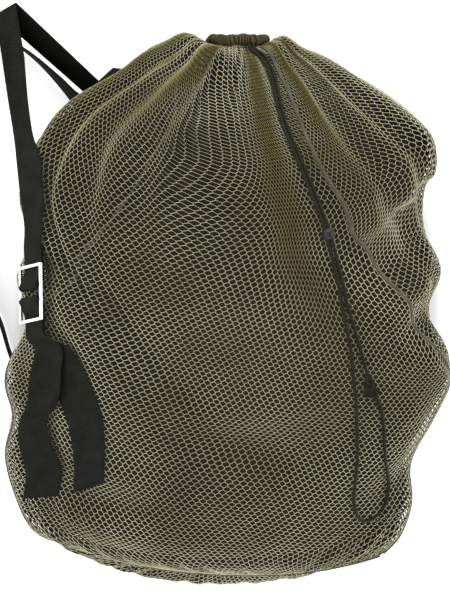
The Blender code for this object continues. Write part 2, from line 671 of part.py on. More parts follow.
def shoulder_strap_a(skin_now, frame, material):
    under = [sewn_under(skin_now, pair) for pair in STRAP_A_UNDER]
    rise = smooth_band(under + list(STRAP_A_RISE) + [(*FOLD_T[0], *FOLD_T[1])], STRAP_A_STEP)[:-1]
    stations = [s.tolist() for s in rise]
    ramp_top = STRAP_A_RAMP[0]
    corners = [FOLD_T, FOLD_V, FOLD_A, (ramp_top[:3], ramp_top[3:])]
    before = stations[-1]
    for corner, after in zip(corners, corners[1:]):
        stations += crease(before, corner, after)
        before = corner
    flank = [skin_station(skin_now, x, y, lift, FLANK_RUN) for x, y, lift in STRAP_A_FLANK]
    lead_in = [frame.station(y, z) for y, z in LEAD_IN]
    ramp = [list(row) for row in STRAP_A_RAMP]
    ramp += [[*a, *b] for a, b in flank + lead_in]
    stations += [s.tolist() for s in smooth_band(ramp, STRAP_A_STEP)]
    stations += [frame.station(*BAR_ENTRY)]
    stations += frame.loop(INNER_BAR, 1.0)
    stations += [frame.station(y, RETURN_DEPTH) for y in RETURN_ABOVE]
    return band("shoulder_strap_a", stations, material)


def adjuster_strap_a(skin_now, frame, material):
    tail = [skin_station(skin_now, x, y, lift, TAIL_RUN, tilt) for x, y, lift, tilt in reversed(TAIL_A)]
    tail += [frame.station(y, z) for y, z in LEAD_OUT]
    tail = [[*a, *b] for a, b in tail]
    stations = [s.tolist() for s in smooth_band(tail, STRAP_A_STEP)]
    stations += [frame.station(-BAR_ENTRY[0], BAR_ENTRY[1])]
    stations += frame.loop(-INNER_BAR, -1.0)
    down = [frame.station(y, RETURN_DEPTH) for y in RETURN_BELOW]
    down += [skin_station(skin_now, x, y, lift, ANCHOR_RUN, tilt) for x, y, lift, tilt in ANCHOR_A]
    down = [[*a, *b] for a, b in down]
    stations += [s.tolist() for s in smooth_band(down, STRAP_A_STEP)]
    return band("adjuster_strap_a", stations, material)


def shoulder_strap_b(skin_now, material):
    stations = [sewn_under(skin_now, STRAP_B_TOP), *STRAP_B, sewn_under(skin_now, STRAP_B_FOOT)]
    return band("shoulder_strap_b", smooth_band(stations, STRAP_B_STEP), material)


def main():
    for thing in list(bpy.data.objects):
        bpy.data.objects.remove(thing, do_unlink=True)
    net = colour_material("olive_net", (0.26, 0.24, 0.15), 0.7)
    binding = colour_material("olive_binding", (0.09, 0.085, 0.05), 0.8)
    webbing = colour_material("black_webbing", (0.02, 0.022, 0.018), 0.6)
    braid = colour_material("black_cord", (0.022, 0.022, 0.018), 0.6)
    moulded = colour_material("black_lock", (0.03, 0.03, 0.028), 0.3)
    steel = colour_material("bright_steel", (0.8, 0.8, 0.8), 0.15, 1.0)
    panels = [panel("net_front", 0.0, 0.5, net), panel("net_back", 0.5, 1.0, net)]
    side_seam("right_side_seam", 0.0, binding)
    side_seam("left_side_seam", 0.5, binding)
    bottom_seam(binding)
    top_hem(binding)
    sack = Skin(panels)
    cord("drawcord_long", pair_strand(sack, -1) + lay(sack, CORD_LONG), braid)
    cord("drawcord_short", pair_strand(sack, 1) + lay(sack, CORD_SHORT), braid)
    cord_lock(sack, moulded)
    cord_knot(sack, braid)
    frame = BuckleFrame(sack)
    buckle(frame, steel)
    shoulder_strap_a(sack, frame, webbing)
    adjuster_strap_a(sack, frame, webbing)
    shoulder_strap_b(sack, webbing)


main()
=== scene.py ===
"""The looks of the mesh decoy bag: net of real strands, bound seams, gathered hem, braided
cord, lock, webbing straps and the metal slide, lit on a pale floor.

The sack lies on its back, z = 0 is the floor, its mouth is toward +Y and its front faces up.
Tables and functions are in millimetres, and mesh coordinates in metres.
"""
import math

import bmesh
import bpy
import numpy as np
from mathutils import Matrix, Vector
from mathutils.bvhtree import BVHTree


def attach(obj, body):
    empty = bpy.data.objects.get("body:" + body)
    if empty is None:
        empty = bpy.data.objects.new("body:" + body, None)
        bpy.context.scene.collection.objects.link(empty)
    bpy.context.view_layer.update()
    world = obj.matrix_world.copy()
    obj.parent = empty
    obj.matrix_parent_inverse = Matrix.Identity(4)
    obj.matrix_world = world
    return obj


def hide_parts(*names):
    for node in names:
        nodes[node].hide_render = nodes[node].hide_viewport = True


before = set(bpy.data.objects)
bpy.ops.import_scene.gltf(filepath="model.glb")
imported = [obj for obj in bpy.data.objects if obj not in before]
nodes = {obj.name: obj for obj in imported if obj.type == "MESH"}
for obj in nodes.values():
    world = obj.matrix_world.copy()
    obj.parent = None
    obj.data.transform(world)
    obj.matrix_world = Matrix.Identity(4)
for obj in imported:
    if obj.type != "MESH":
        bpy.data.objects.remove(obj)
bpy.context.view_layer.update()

MM = 0.001

# Driving dimensions
SEAM_WIDTH = 5.0
SEAM_HEIGHT = 4.0
HEM_RADIUS = 33.0       # from the middle of the mouth to the middle of the gathered channel
HEM_TUBE = 7.2
HEM_CENTRE = (16.0, 336.0, 120.0)
CORD_DIAMETER = 4.3
LOCK_RADIUS = 8.5
WEBBING_WIDTH = 50.0
WEBBING_THICKNESS = 1.8
BUCKLE_WIDTH = 62.0
BUCKLE_LENGTH = 74.0
BUCKLE_BAR = 4.0
PLEATS = 14             # gathers round the sack, which fan out from the mouth

# Rings round the sack from the hem to the bottom seam. left and right are its sides as seen from
# above, front_y and back_y the place of its middle on each panel, under and top its height,
# seam the angle of the right seam up from the right side in degrees, pleat the gathers' depth.
RING_COLUMNS = ("left_x", "left_y", "right_x", "right_y", "front_y", "back_y",
                "under", "top", "seam", "pleat")
RINGS = (
    (-17, 328, 49, 328, 328, 328, 87, 153, 42, 1.2),
    (-87, 331, 104, 323, 266, 272, 60, 192, 51, 5.0),
    (-132, 297, 163, 297, 208, 221, 36, 237, 60, 6.0),
    (-198, 258, 226, 258, 143, 162, 19, 277, 62, 6.5),
    (-239, 212, 268, 213, 88, 110, 6, 301, 60, 5.5),
    (-264, 161, 272, 165, 42, 60, -5, 315, 56, 4.5),
    (-267, 125, 261, 148, 0, 14, -12, 322, 49, 3.5),
    (-252, 78, 258, 101, -46, -36, -15, 326, 43, 3.0),
    (-270, 29, 277, 42, -91, -84, -16, 326, 35, 2.5),
    (-256, -29, 262, -14, -137, -130, -16, 324, 24, 2.0),
    (-278, -79, 286, -68, -179, -176, -15, 319, 12, 2.0),
    (-286, -107, 292, -105, -212, -213, -12, 310, 2, 2.0),
    (-278, -145, 274, -148, -247, -250, -8, 298, 0, 2.0),
    (-286, -198, 241, -210, -288, -298, -2, 268, 0, 2.0),
    (-271, -254, 242, -262, -319, -340, 6, 228, 0, 2.0),
    (-247, -300, 228, -304, -344, -371, 34, 170, 0, 1.0),
    (-193, -320, 203, -332, -357, -357, 97.2, 102.8, 0, 0.0),
)


def cubic(knots, values, at):
    """A smooth curve through the values, read at any places along the knots."""
    knots = np.asarray(knots, float)
    values = np.asarray(values, float)
    slopes = np.gradient(values, knots, axis=0)
    place = np.clip(np.searchsorted(knots, at, side="right") - 1, 0, len(knots) - 2)
    step = knots[place + 1] - knots[place]
    s = (at - knots[place]) / step
    shape = (-1,) + (1,) * (values.ndim - 1)
    s = s.reshape(shape)
    step = step.reshape(shape)
    h00 = 2 * s**3 - 3 * s**2 + 1
    h10 = s**3 - 2 * s**2 + s
    h01 = -2 * s**3 + 3 * s**2
    h11 = s**3 - s**2
    return (h00 * values[place] + h10 * step * slopes[place]
            + h01 * values[place + 1] + h11 * step * slopes[place + 1])


def unit(rows):
    """The same directions, each as long as one."""
    return rows / np.linalg.norm(rows, axis=-1, keepdims=True)


def full_turn(count):
    """Even angles all round."""
    return np.linspace(0, 2 * math.pi, count, endpoint=False)


def running(steps):
    """The sum so far, from zero."""
    return np.concatenate([[0.0], np.cumsum(steps)])


def distances(points):
    """How far along its line each point lies."""
    return running(np.linalg.norm(np.diff(points, axis=0), axis=1))


def squared(values, power):
    """Values from -1 to 1, pushed outward to make a section squarer."""
    return np.abs(values) ** power * np.sign(values)


def ring_knots():
    """Where each ring lies between the hem (0) and the bottom seam (1), by its mean distance."""
    table = np.array(RINGS, float)
    sides = [table[:, 0:2], table[:, 2:4], table[:, [4, 7]], table[:, [5, 6]]]
    lengths = np.mean([np.linalg.norm(np.diff(side, axis=0), axis=1) for side in sides], axis=0)
    along = running(lengths)
    return along / along[-1]


KNOTS = ring_knots()
BOTTOM_SEAM_Z = (RINGS[-1][RING_COLUMNS.index("under")] + RINGS[-1][RING_COLUMNS.index("top")]) / 2
ROUNDNESS = 2.3         # 2 would be an ellipse, more is squarer
RING_SAMPLES = 720
PLEAT_DRIFT = 0.35      # how far the gathers stray sideways, in turns of one gather
PLEAT_TWIST = 2.5       # radians that a gather turns from the hem to the bottom
PLEAT_RISE = 0.3        # share of the gathers' height that runs along the sack
SWELL = 3.0             # height of the slow swells
SWELL_ROUND = 2         # swells round the sack, and along it
SWELL_ALONG = 2.2
SEAM_EASE = 12.0        # how fast the gathers come up beside a side seam, and their share on it
SEAM_KEEP = 0.25
LINE_SAMPLES = 12       # of a smooth curve, for each of its points
SLOPE_STEP = 1e-3       # in t and u, over which the skin's directions are measured


def seam_distance(u):
    """How far u lies from the nearer side seam, in widths of a panel."""
    return np.abs(np.mod(u * 2 + 0.5, 1.0) - 0.5)


def skin(t, u):
    """Points on the sack's outside: t from hem to bottom, u once round it from the right seam."""
    t = np.atleast_1d(np.asarray(t, float))
    u = np.atleast_1d(np.asarray(u, float))
    rows = {name: value for name, value in zip(RING_COLUMNS, cubic(KNOTS, RINGS, t).T)}
    angle = np.radians(rows["seam"][:, None]) + np.linspace(0, 2 * math.pi, RING_SAMPLES + 1)
    across = squared(np.cos(angle), 2 / ROUNDNESS)
    up = squared(np.sin(angle), 2 / ROUNDNESS)

    def column(name):
        return rows[name][:, None]

    x = (column("left_x") + column("right_x")) / 2 + (column("right_x") - column("left_x")) / 2 * across
    side_y = (column("left_y") * (1 - across) + column("right_y") * (1 + across)) / 2
    middle_y = np.where(up > 0, column("front_y"), column("back_y"))
    y = side_y + (middle_y - (column("left_y") + column("right_y")) / 2) * np.sin(angle) ** 2
    side_z = (HEM_CENTRE[2] + (BOTTOM_SEAM_Z - HEM_CENTRE[2]) * t)[:, None]
    z = side_z + np.where(up > 0, column("top") - side_z, side_z - column("under")) * up

    # Places round the ring go by its length
    steps = np.sqrt(np.diff(x) ** 2 + np.diff(y) ** 2 + np.diff(z) ** 2)
    points = np.empty((len(t), len(u), 3))
    turn = np.mod(u, 1.0)
    for i in range(len(t)):
        along = running(steps[i])
        wanted = turn * along[-1]
        for axis, values in enumerate((x, y, z)):
            points[i, :, axis] = np.interp(wanted, along, values[i])

    # Gathers stand out from the middle of the ring, and slow swells run over the whole sack
    middle = np.stack([(rows["left_x"] + rows["right_x"]) / 2,
                       (rows["left_y"] + rows["right_y"]) / 2,
                       (rows["under"] + rows["top"]) / 2], axis=1)[:, None, :]
    outward = points - middle
    outward[..., 1] *= PLEAT_RISE
    size = np.linalg.norm(outward, axis=2, keepdims=True)
    outward = outward / np.maximum(size, 1e-6)
    phase = 2 * math.pi * (PLEATS * turn + PLEAT_DRIFT * np.sin(2 * math.pi * 3 * turn + 1.0))
    wave = np.cos(phase[None, :] + PLEAT_TWIST * t[:, None])
    swell = np.sin(2 * math.pi * (SWELL_ROUND * turn[None, :] + SWELL_ALONG * t[:, None]))
    swell = swell * np.sin(math.pi * t[:, None]) ** 2
    height = rows["pleat"][:, None] * wave + SWELL * swell
    seam_keep = np.minimum(1.0, SEAM_EASE * seam_distance(turn) + SEAM_KEEP)
    points += outward * (height * seam_keep[None, :])[..., None]
    points[..., 2] = np.maximum(points[..., 2], 0.0)
    return points


def skin_and_normal(t, u):
    """Points and outward normals of the skin."""
    low_t = np.clip(t - SLOPE_STEP, 0, 1)
    high_t = np.clip(t + SLOPE_STEP, 0, 1)
    along = skin(high_t, u) - skin(low_t, u)
    around = skin(t, u + SLOPE_STEP) - skin(t, u - SLOPE_STEP)
    return skin(t, u), unit(np.cross(around, along))


class Skin:
    """The outer facets of both panels, which the straps and the cord lie on."""

    def __init__(self, panels):
        vertices = []
        faces = []
        for thing in panels:
            first = len(vertices)
            vertices += [v.co / MM for v in thing.data.vertices]
            faces += [tuple(first + k for k in f.vertices) for f in thing.data.polygons]
        self.tree = BVHTree.FromPolygons(vertices, faces)

    def above(self, x, y):
        """The highest point of the sack at x, y, and its normal."""
        point, normal, _, _ = self.tree.ray_cast(Vector((x, y, 600)), Vector((0, 0, -1)))
        return point, normal

    def below(self, x, y):
        """The lowest point of the sack at x, y, and its normal."""
        point, normal, _, _ = self.tree.ray_cast(Vector((x, y, -10)), Vector((0, 0, 1)))
        return point, normal

    def slope(self, x, y, reach):
        """The sack's upward normal at x, y, averaged over a patch."""
        total = Vector()
        for dx in (-reach, 0, reach):
            for dy in (-reach, 0, reach):
                point, normal = self.above(x + dx, y + dy)
                if point:
                    total += normal
        return total.normalized()


def smooth_line(points, spacing):
    """Even steps along a smooth curve through points, a row each."""
    points = np.asarray(points, float)
    along = distances(points)
    fine = cubic(along, points, np.linspace(0, along[-1], LINE_SAMPLES * len(points)))
    length = distances(fine)
    wanted = np.linspace(0, length[-1], max(2, round(length[-1] / spacing) + 1))
    return np.stack([np.interp(wanted, length, fine[:, k]) for k in range(points.shape[1])], axis=1)


# Routes of the webbing: a station is its two edge points

CREASE_RADIUS = 2.5     # of the webbing's middle line at a fold
CREASE_STEPS = 6
SEWN_DROP = 2.9         # from the skin down to the middle of webbing sewn under it
STRAP_PATCH = 12        # half widths of the patches of the sack that webbing and cords lie level with
CORD_PATCH = 8


def smooth_band(stations):
    """Even steps along a band, from stations of two edge points or of their six numbers."""
    rows = [np.ravel(station) for station in stations]
    return smooth_line(rows, STRAP_STEP).reshape(-1, 2, 3).tolist()


def crease(before, corner, after):
    """Stations round a fold of the webbing, whose edges turn at the corner station."""
    steps = np.linspace(0, 1, CREASE_STEPS + 1)
    edges = []
    for e in range(2):
        point = Vector(corner[e])
        inward = (Vector(before[e]) - point).normalized()
        outward = (Vector(after[e]) - point).normalized()
        half = inward.angle(outward) / 2
        bisector = (inward + outward).normalized()
        centre = point + bisector * (CREASE_RADIUS / math.sin(half))
        start = point + inward * (CREASE_RADIUS / math.tan(half)) - centre
        end = point + outward * (CREASE_RADIUS / math.tan(half)) - centre
        edges.append([centre + start.slerp(end, k) for k in steps])
    return [[tuple(a), tuple(b)] for a, b in zip(*edges)]


def skin_station(skin_now, x, y, lift, run, tilt=0.0):
    """A station with its middle above the sack at x, y, square to the run and flat to the skin."""
    point, _ = skin_now.above(x, y)
    normal = skin_now.slope(x, y, STRAP_PATCH)
    across = Vector(run).cross(normal).normalized()
    normal = across.cross(Vector(run)).normalized()
    if normal.z < 0:
        normal = -normal
    middle = point + normal * lift
    turn = math.radians(tilt)
    across = across * math.cos(turn) + normal * math.sin(turn)
    return [tuple(middle + across * WEBBING_WIDTH / 2), tuple(middle - across * WEBBING_WIDTH / 2)]


# Shoulder strap A from its sewn end under the sack's left shoulder: folds at T, V and A
STRAP_A_UNDER = ((-91, 236, -131, 226), (-94, 252, -136, 246))
STRAP_A_RISE = (-106, 276, 36, -141, 281, 14)
FOLD_T = ((-121, 303, 44), (-146, 309, 1.5))
FOLD_V = ((-150, 270, 44), (-184, 270, 1.5))
FOLD_A = ((-275, 392, 98), (-303, 378, 56))
STRAP_A_RAMP = ((-261, 316, 99, -292, 320, 57), (-256, 262, 118, -283, 262, 78),
                (-249, 218, 150, -275, 218, 109))
# Where it lies on the flank: x, y and height above the skin
STRAP_A_FLANK = ((-246, 170, 7), (-243, 132, 5.5), (-237, 92, 9.4))

BUCKLE_PLACE = (-237, 8)
BUCKLE_LIFT = 13.0
BUCKLE_RUN = (-0.12, 0.99, -0.05)
INNER_BAR = 9.0         # from the middle of the buckle to each inner bar
LOOP_RADIUS = 4.4       # webbing round a bar, to its middle
LOOP_ANGLES = (60, 230)     # where that loop begins and ends, in degrees
LOOP_STEPS = 16
# Places y and z beside the buckle that the webbing passes: in from above, out below, and back
LEAD_IN = ((62, -3.5), (40, -LOOP_RADIUS))
LEAD_OUT = ((-52, -LOOP_RADIUS), (-38, -LOOP_RADIUS))
BAR_ENTRY = (28, -LOOP_RADIUS + 0.6)
RETURN_DEPTH = -LOOP_RADIUS - WEBBING_THICKNESS - 0.6
RETURN_ABOVE = (INNER_BAR + 9, 58)
RETURN_STEPS = 8
RETURN_BELOW = (-INNER_BAR - 9, -38, -52)
FLANK_RUN = (0.1, 0.97, -0.2)       # direction of strap A on the flank, of the tail and of the anchor
TAIL_RUN = (-0.05, 0.99, -0.1)
ANCHOR_RUN = (-0.25, 0.96, -0.1)
STRAP_STEP = 7.0
SLOPE_REACH = 22        # patch of the sack that the buckle lies level with

# Tail and anchor below the buckle: x, y, height above the skin, tilt in degrees from the skin
TAIL_A = ((-217, -62, 12, 0), (-221, -95, 13, -4), (-222, -130, 15, -8), (-231, -159, 18, -12),
          (-228, -188, 18, -18), (-221, -213, 16, -24), (-223, -253, 16, -30))
ANCHOR_A = ((-210, -66, 8.0, 0), (-193, -108, 4.5, 0), (-177, -150, 3.6, 0), (-171, -190, 3.2, 0),
            (-172, -239, 2.8, 0))

# Shoulder strap B: out from under the shoulder, round beyond the left and back under the flank
STRAP_B = (
    (-168, 262, 50, -192, 238, 20), (-188, 268, 50, -200, 256, 3),
    (-215, 292, 51, -222, 285, 1.5), (-262, 329, 51, -264, 327, 1.5), (-305, 352, 51, -303, 350, 1.5),
    (-338, 340, 51, -334, 337, 1.5), (-356, 290, 51, -351, 290, 1.5), (-358, 220, 51, -354, 221, 1.5),
    (-345, 120, 51, -342, 121, 1.5), (-322, 30, 51, -319, 31, 1.5), (-296, -30, 51, -293, -29, 1.5),
    (-281, -78, 50, -277, -77, 1.5), (-268, -112, 46, -254, -106, 2), (-258, -138, 42, -232, -118, 8),
)
STRAP_B_TOP = (-142, 243, -178, 207)        # its two sewn ends, under the sack
STRAP_B_FOOT = (-243, -165, -207, -135)

# Drawcord: both strands side by side from the hem to the lock. x, y, height above the skin
CORD_PAIR = ((46, 311, 4.2), (58, 291, 3.9), (66, 260, 3.6), (75, 222, 3.6), (94, 175, 3.6),
             (111, 132, 4.0), (119, 108, 6.0), (125.8, 91.4, 8.8), (128.7, 80.6, 9.0), (131.6, 69.8, 8.8))
CORD_SPREAD = 2.3       # from the middle of the pair to each strand
CORD_LONG = ((136, 43, 3.8), (143, 17, 3.4), (149, -17, 3.4), (155, -45, 3.4), (159, -71, 3.4),
             (161, -96, 3.6), (164, -123, 4.0), (165, -148, 4.5), (166, -179, 4.5), (166, -210, 3.8),
             (164, -234, 3.4), (163, -257, 3.4), (167, -273, 3.4), (177, -282, 3.4), (191, -277, 3.6),
             (203, -262, 3.6), (207, -242, 3.6), (205, -218, 3.8), (201, -190, 4.0), (199, -159, 4.0),
             (196, -139, 4.6), (190, -127, 6.0), (183.4, -120.2, 6.9))
CORD_SHORT = ((142, 44, 3.8), (149, 16, 3.4), (154, -6, 3.4), (162, -34, 3.4), (170, -62, 3.6),
              (174, -78, 4.2), (177.5, -95.4, 6.6))
KNOT_PLACE = (180, -108)
KNOT_LIFT = 7.0
KNOT_RUN = (-0.2, 1.0, 0.0)
HEM_EXIT = (0.25, -0.72, 0.65)      # direction in which the cord leaves the gathered channel
HEM_EXIT_ANGLE = 62.0               # where round it, in degrees, and how far each strand lies from there
HEM_EXIT_SPREAD = 4.5
HEM_EXIT_REACH = (0.7, 7.0)         # how far past the channel's own radius the first two points lie
HEM_LUMP = (0.8, 0.5)               # how far the gathers move the channel out, and thicken it


def flat_outward(line):
    """Level directions square to a line of points, outward where it runs from right to left."""
    run = np.gradient(line, axis=0)
    return unit(np.stack([-run[:, 1], run[:, 0], np.zeros(len(run))], axis=1))


def lay(skin_now, route):
    """Route points raised from x, y and a height along the sack's normal."""
    points = []
    for x, y, lift in route:
        point, _ = skin_now.above(x, y)
        points.append(tuple(point + skin_now.slope(x, y, CORD_PATCH) * lift))
    return points


def hem_exit(side):
    """Where a strand leaves the gathered channel, and a point straight out of it."""
    angle = math.radians(HEM_EXIT_ANGLE - side * HEM_EXIT_SPREAD)
    lump = math.cos(PLEATS * angle)
    radius = HEM_RADIUS + HEM_LUMP[0] * lump
    tube = HEM_TUBE + HEM_LUMP[1] * lump
    start = Vector((HEM_CENTRE[0] + radius * math.cos(angle), HEM_CENTRE[1],
                    HEM_CENTRE[2] + radius * math.sin(angle)))
    way = Vector(HEM_EXIT).normalized()
    return [tuple(start + way * (tube + reach)) for reach in HEM_EXIT_REACH]


def pair_strand(skin_now, side):
    """One of the two strands from the hem through the lock."""
    middle = np.array(lay(skin_now, CORD_PAIR))
    across = flat_outward(middle)
    across[-3:] = across[-2]
    strand = middle + across * CORD_SPREAD * side
    beside = [(x, y, row[2]) for (x, y, _), row in zip(strand[:-3], CORD_PAIR)]
    return hem_exit(side) + lay(skin_now, beside) + [tuple(p) for p in strand[-3:]]


class BuckleFrame:
    """The buckle's own axes: x across the strap, y up it and z away from the sack."""

    def __init__(self, skin_now):
        point, _ = skin_now.above(*BUCKLE_PLACE)
        self.z = skin_now.slope(*BUCKLE_PLACE, SLOPE_REACH)
        self.y = Vector(BUCKLE_RUN)
        self.y = (self.y - self.z * self.y.dot(self.z)).normalized()
        self.x = self.y.cross(self.z)
        self.origin = point + self.z * BUCKLE_LIFT

    def at(self, x, y, z):
        return self.origin + self.x * x + self.y * y + self.z * z

    def station(self, y, z):
        half = WEBBING_WIDTH / 2
        return [tuple(self.at(half, y, z)), tuple(self.at(-half, y, z))]

    def loop(self, bar_y, direction):
        """Stations round a bar; 90 degrees is its front."""
        made = []
        for angle in np.radians(np.linspace(*LOOP_ANGLES, LOOP_STEPS + 1)):
            made.append(self.station(bar_y + direction * LOOP_RADIUS * math.cos(angle),
                                     LOOP_RADIUS * math.sin(angle)))
        return made


def sewn_under(skin_now, edges):
    """A station against the sack's underside, from the x, y of its two edges."""
    station = []
    for x, y in (edges[:2], edges[2:]):
        point, normal = skin_now.below(x, y)
        station.extend(point + normal * SEWN_DROP)
    return station


# Pieces

def linked(name, data):
    """A new object in the scene, of a mesh, a light or a camera."""
    thing = bpy.data.objects.new(name, data)
    bpy.context.scene.collection.objects.link(thing)
    return thing


def add_piece(name, mesh, material, slot, *nodes_replaced):
    """Puts a mesh into the scene as a piece that rides on the part and stands for its nodes."""
    mesh.materials.append(material)
    thing = linked(name, mesh)
    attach(thing, "root")
    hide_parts(*nodes_replaced)
    return thing


def new_mesh(name, vertices_mm, faces, material, slot, *nodes_replaced, uv=None):
    """Makes a smooth piece from points in millimetres."""
    mesh = bpy.data.meshes.new(name)
    vertices_mm = np.asarray(vertices_mm, float)
    if isinstance(faces, np.ndarray):
        mesh.vertices.add(len(vertices_mm))
        mesh.vertices.foreach_set("co", (vertices_mm * MM).ravel())
        count, size = faces.shape
        mesh.loops.add(count * size)
        mesh.loops.foreach_set("vertex_index", faces.ravel().astype(np.int32))
        mesh.polygons.add(count)
        mesh.polygons.foreach_set("loop_start", np.arange(count, dtype=np.int32) * size)
        mesh.update(calc_edges=True)
    else:
        mesh.from_pydata((vertices_mm * MM).tolist(), [], faces)
    mesh.validate()
    if uv is not None:
        layer = mesh.uv_layers.new(name="UVMap")
        corner = np.empty(len(mesh.loops), dtype=np.int32)
        mesh.loops.foreach_get("vertex_index", corner)
        layer.data.foreach_set("uv", np.asarray(uv, np.float32)[corner].ravel())
    mesh.polygons.foreach_set("use_smooth", np.ones(len(mesh.polygons), dtype=bool))
    return add_piece(name, mesh, material, slot, *nodes_replaced)


def point_values(piece, **values):
    """Gives each point of a piece a named value that its material reads."""
    for title, value in values.items():
        layer = piece.data.attributes.new(title, "FLOAT", "POINT")
        layer.data.foreach_set("value", value.ravel())


# Net: strands between hexagonal holes, on a lattice over the skin

NET_GIRTH = 1500.0      # round both panels when flat
NET_LENGTH = 850.0      # from hem to bottom seam
CELL_WIDTH = 8.4
ROW_STEP = 4.9
CROSS_EDGE = 1.0        # half the short side that two cells of one row share
TOP_STRAND = 1.0        # width of the yarn; underneath it is widened until it nearly closes the holes, a dark sheet of painted shade inside the sack
UNDER_STRAND = 8.0
TOP_FILL = 0.78         # how much of a hole the yarn may fill at most, above and underneath
UNDER_FILL = 0.93
UNDER_SHADE_TONE = 0.045      # how bright the yarn's crowns stay underneath: painted shade that darkens the underside
UNDER_FROM = 0.15       # upward share of the normal where the underside begins, and over how much it grows
UNDER_FADE = 0.5
STRAND_HEIGHT = 1.1
KNOT_WIDTHS = (1.35, 1.15, 1.15, 1.35, 1.15, 1.15)      # of the strand, at the six corners of a cell
YARN_STRAY = 0.14       # how far knots stray from the lattice
SEAM_INSET = 0.2        # between the outermost knots and the binding's edge
PART_AT = 0.45          # where along the sack the upper piece of a panel ends
CROWN_FLOOR = 0.2       # heights above the floor that the yarn's crown and foot keep
FOOT_FLOOR = 0.1
FRONT_TILT = 12.0       # how far the rows fall to the right, as seen from above, in degrees
BACK_TILT = -6.0
STRAIGHT_FROM = 0.05    # places between which the rows turn from rings into straight ones
STRAIGHT_TO = 0.55
FLANK_SHARE = 0.4       # share of a flank's height that the net's width follows, as it is pulled wide
SLOPE_SHARE = 0.35      # the same for its rows, where the sack slopes along its length
FOOT_FROM = 0.9         # place from which the rows run along the bottom seam
FOOT_SHARE = 0.5        # how much net lies on each millimetre there
BIN = 5.0               # of the flat coordinates, in which the first guesses are kept
BIN_SPREAD = 4          # bins past the panel's edge that get a guess too
NEWTON_STEPS = 9
NEWTON_REACH = 20.0     # rows or columns that one step may go
LEAST_AREA = 0.05       # of a grid cell in flat coordinates, so that no step is endless
EDGE_REACH = 4.5        # how far past the panel's edge a cut cell's middle may lie
GRID_ROWS = 460         # of the table of skin points that the strands are read from
GRID_COLUMNS = 1400
NECK = 0.13             # share of the sack's length over which the gathers fade
GATHER_PULL = 0.75      # how strongly the gathers bunch the net
GATHER_RISE = 2.4       # their height
PUFF = 15.0             # how far the net puffs up round the drawn channel, away from the cord
PUFF_PLACE = 0.035      # where along the sack, and over what length
PUFF_LENGTH = 0.024
CORD_TURN = 0.065       # where round the sack the cord leaves the mouth
CORD_CLEAR = 0.07       # half width of the place beside it that isn't puffed, in turns
FOLD_EASE = 9.0         # how fast the folds come up beside a side seam

# Folds along the sack: where one lies round it (u) at the three places t, its half width in u,
# how strongly it bunches the net (below zero it is pulled open), t where it ends, and its height
FOLD_PLACES = (0.0, 0.2, 0.45)
FOLD_FADE = 0.055       # the length over which a fold ends
FOLD_SPREAD = 0.8       # how much wider it is at the bottom
FOLD_COLUMNS = ("u_mouth", "u_shoulder", "u_middle", "width", "bunch", "end", "height")
FOLDS = (
    (0.072, 0.047, 0.064, 0.016, 1.00, 0.50, 2.5),
    (0.040, 0.018, 0.012, 0.007, 0.80, 0.20, -4.0),
    (0.022, 0.004, 0.000, 0.008, 0.90, 0.24, 3.5),
    (0.985, 0.985, 0.990, 0.008, 0.60, 0.22, -4.0),
    (0.965, 0.970, 0.975, 0.010, 1.00, 0.26, 3.5),
    (0.935, 0.945, 0.950, 0.010, 0.70, 0.24, -3.0),
    (0.152, 0.147, 0.140, 0.042, -1.00, 0.30, 0.0),
    (0.108, 0.100, 0.100, 0.008, 0.70, 0.16, 1.8),
    (0.205, 0.190, 0.180, 0.012, 0.95, 0.24, 2.2),
    (0.235, 0.258, 0.262, 0.026, 1.25, 0.30, 3.0),
    (0.290, 0.296, 0.298, 0.010, 0.80, 0.28, -4.0),
    (0.325, 0.322, 0.320, 0.014, 0.90, 0.30, 3.0),
    (0.262, 0.262, 0.270, 0.030, -0.25, 0.75, 0.0),
)

# Places where the net is drawn together along the sack: t, u, half widths in t and u, and how far
DRAWN_COLUMNS = ("t", "u", "t_width", "u_width", "pull")
DRAWN = (
    (0.900, 0.370, 0.030, 0.050, 0.30),
    (0.690, 0.030, 0.035, 0.035, 0.45),
    (0.770, 0.380, 0.025, 0.050, 0.35),
    (0.640, 0.200, 0.030, 0.070, 0.25),
    (0.800, 0.050, 0.030, 0.050, 0.30),
    (0.140, 0.175, 0.018, 0.025, 0.22),
)


def round_distance(u, place):
    """The shortest way round the sack from a place to u, in turns."""
    return np.mod(u - place + 0.5, 1.0) - 0.5


def folds_at(t, u):
    """How strongly the net is bunched at t and all places u of its ring, and the folds' height."""
    angle = 2 * math.pi * u
    drift = 0.5 * np.sin(3 * angle + 1.0) + 0.4 * np.sin(5 * angle + 2.0 + 6 * t)
    neck = math.exp(-t / NECK)
    phase = PLEATS * angle + 2.2 * drift + PLEAT_TWIST * t
    bunch = GATHER_PULL * neck * np.cos(phase)
    height = GATHER_RISE * neck * (0.6 * np.cos(phase) + 0.4 * np.cos(2.6 * phase + 1.0))
    for row in FOLDS:
        fold = dict(zip(FOLD_COLUMNS, row))
        steps = np.unwrap([fold["u_mouth"], fold["u_shoulder"], fold["u_middle"]], period=1.0)
        middle = np.interp(t, FOLD_PLACES, steps)
        spread = fold["width"] * (1.0 + FOLD_SPREAD * t)
        shape = np.exp(-(round_distance(u, middle) / spread) ** 2)
        fade = 1.0 / (1.0 + math.exp((t - fold["end"]) / FOLD_FADE))
        bunch = bunch + fold["bunch"] * fade * shape
        height = height + fold["height"] * fade * shape
    return bunch, height * (1 - math.exp(-t / 0.02))


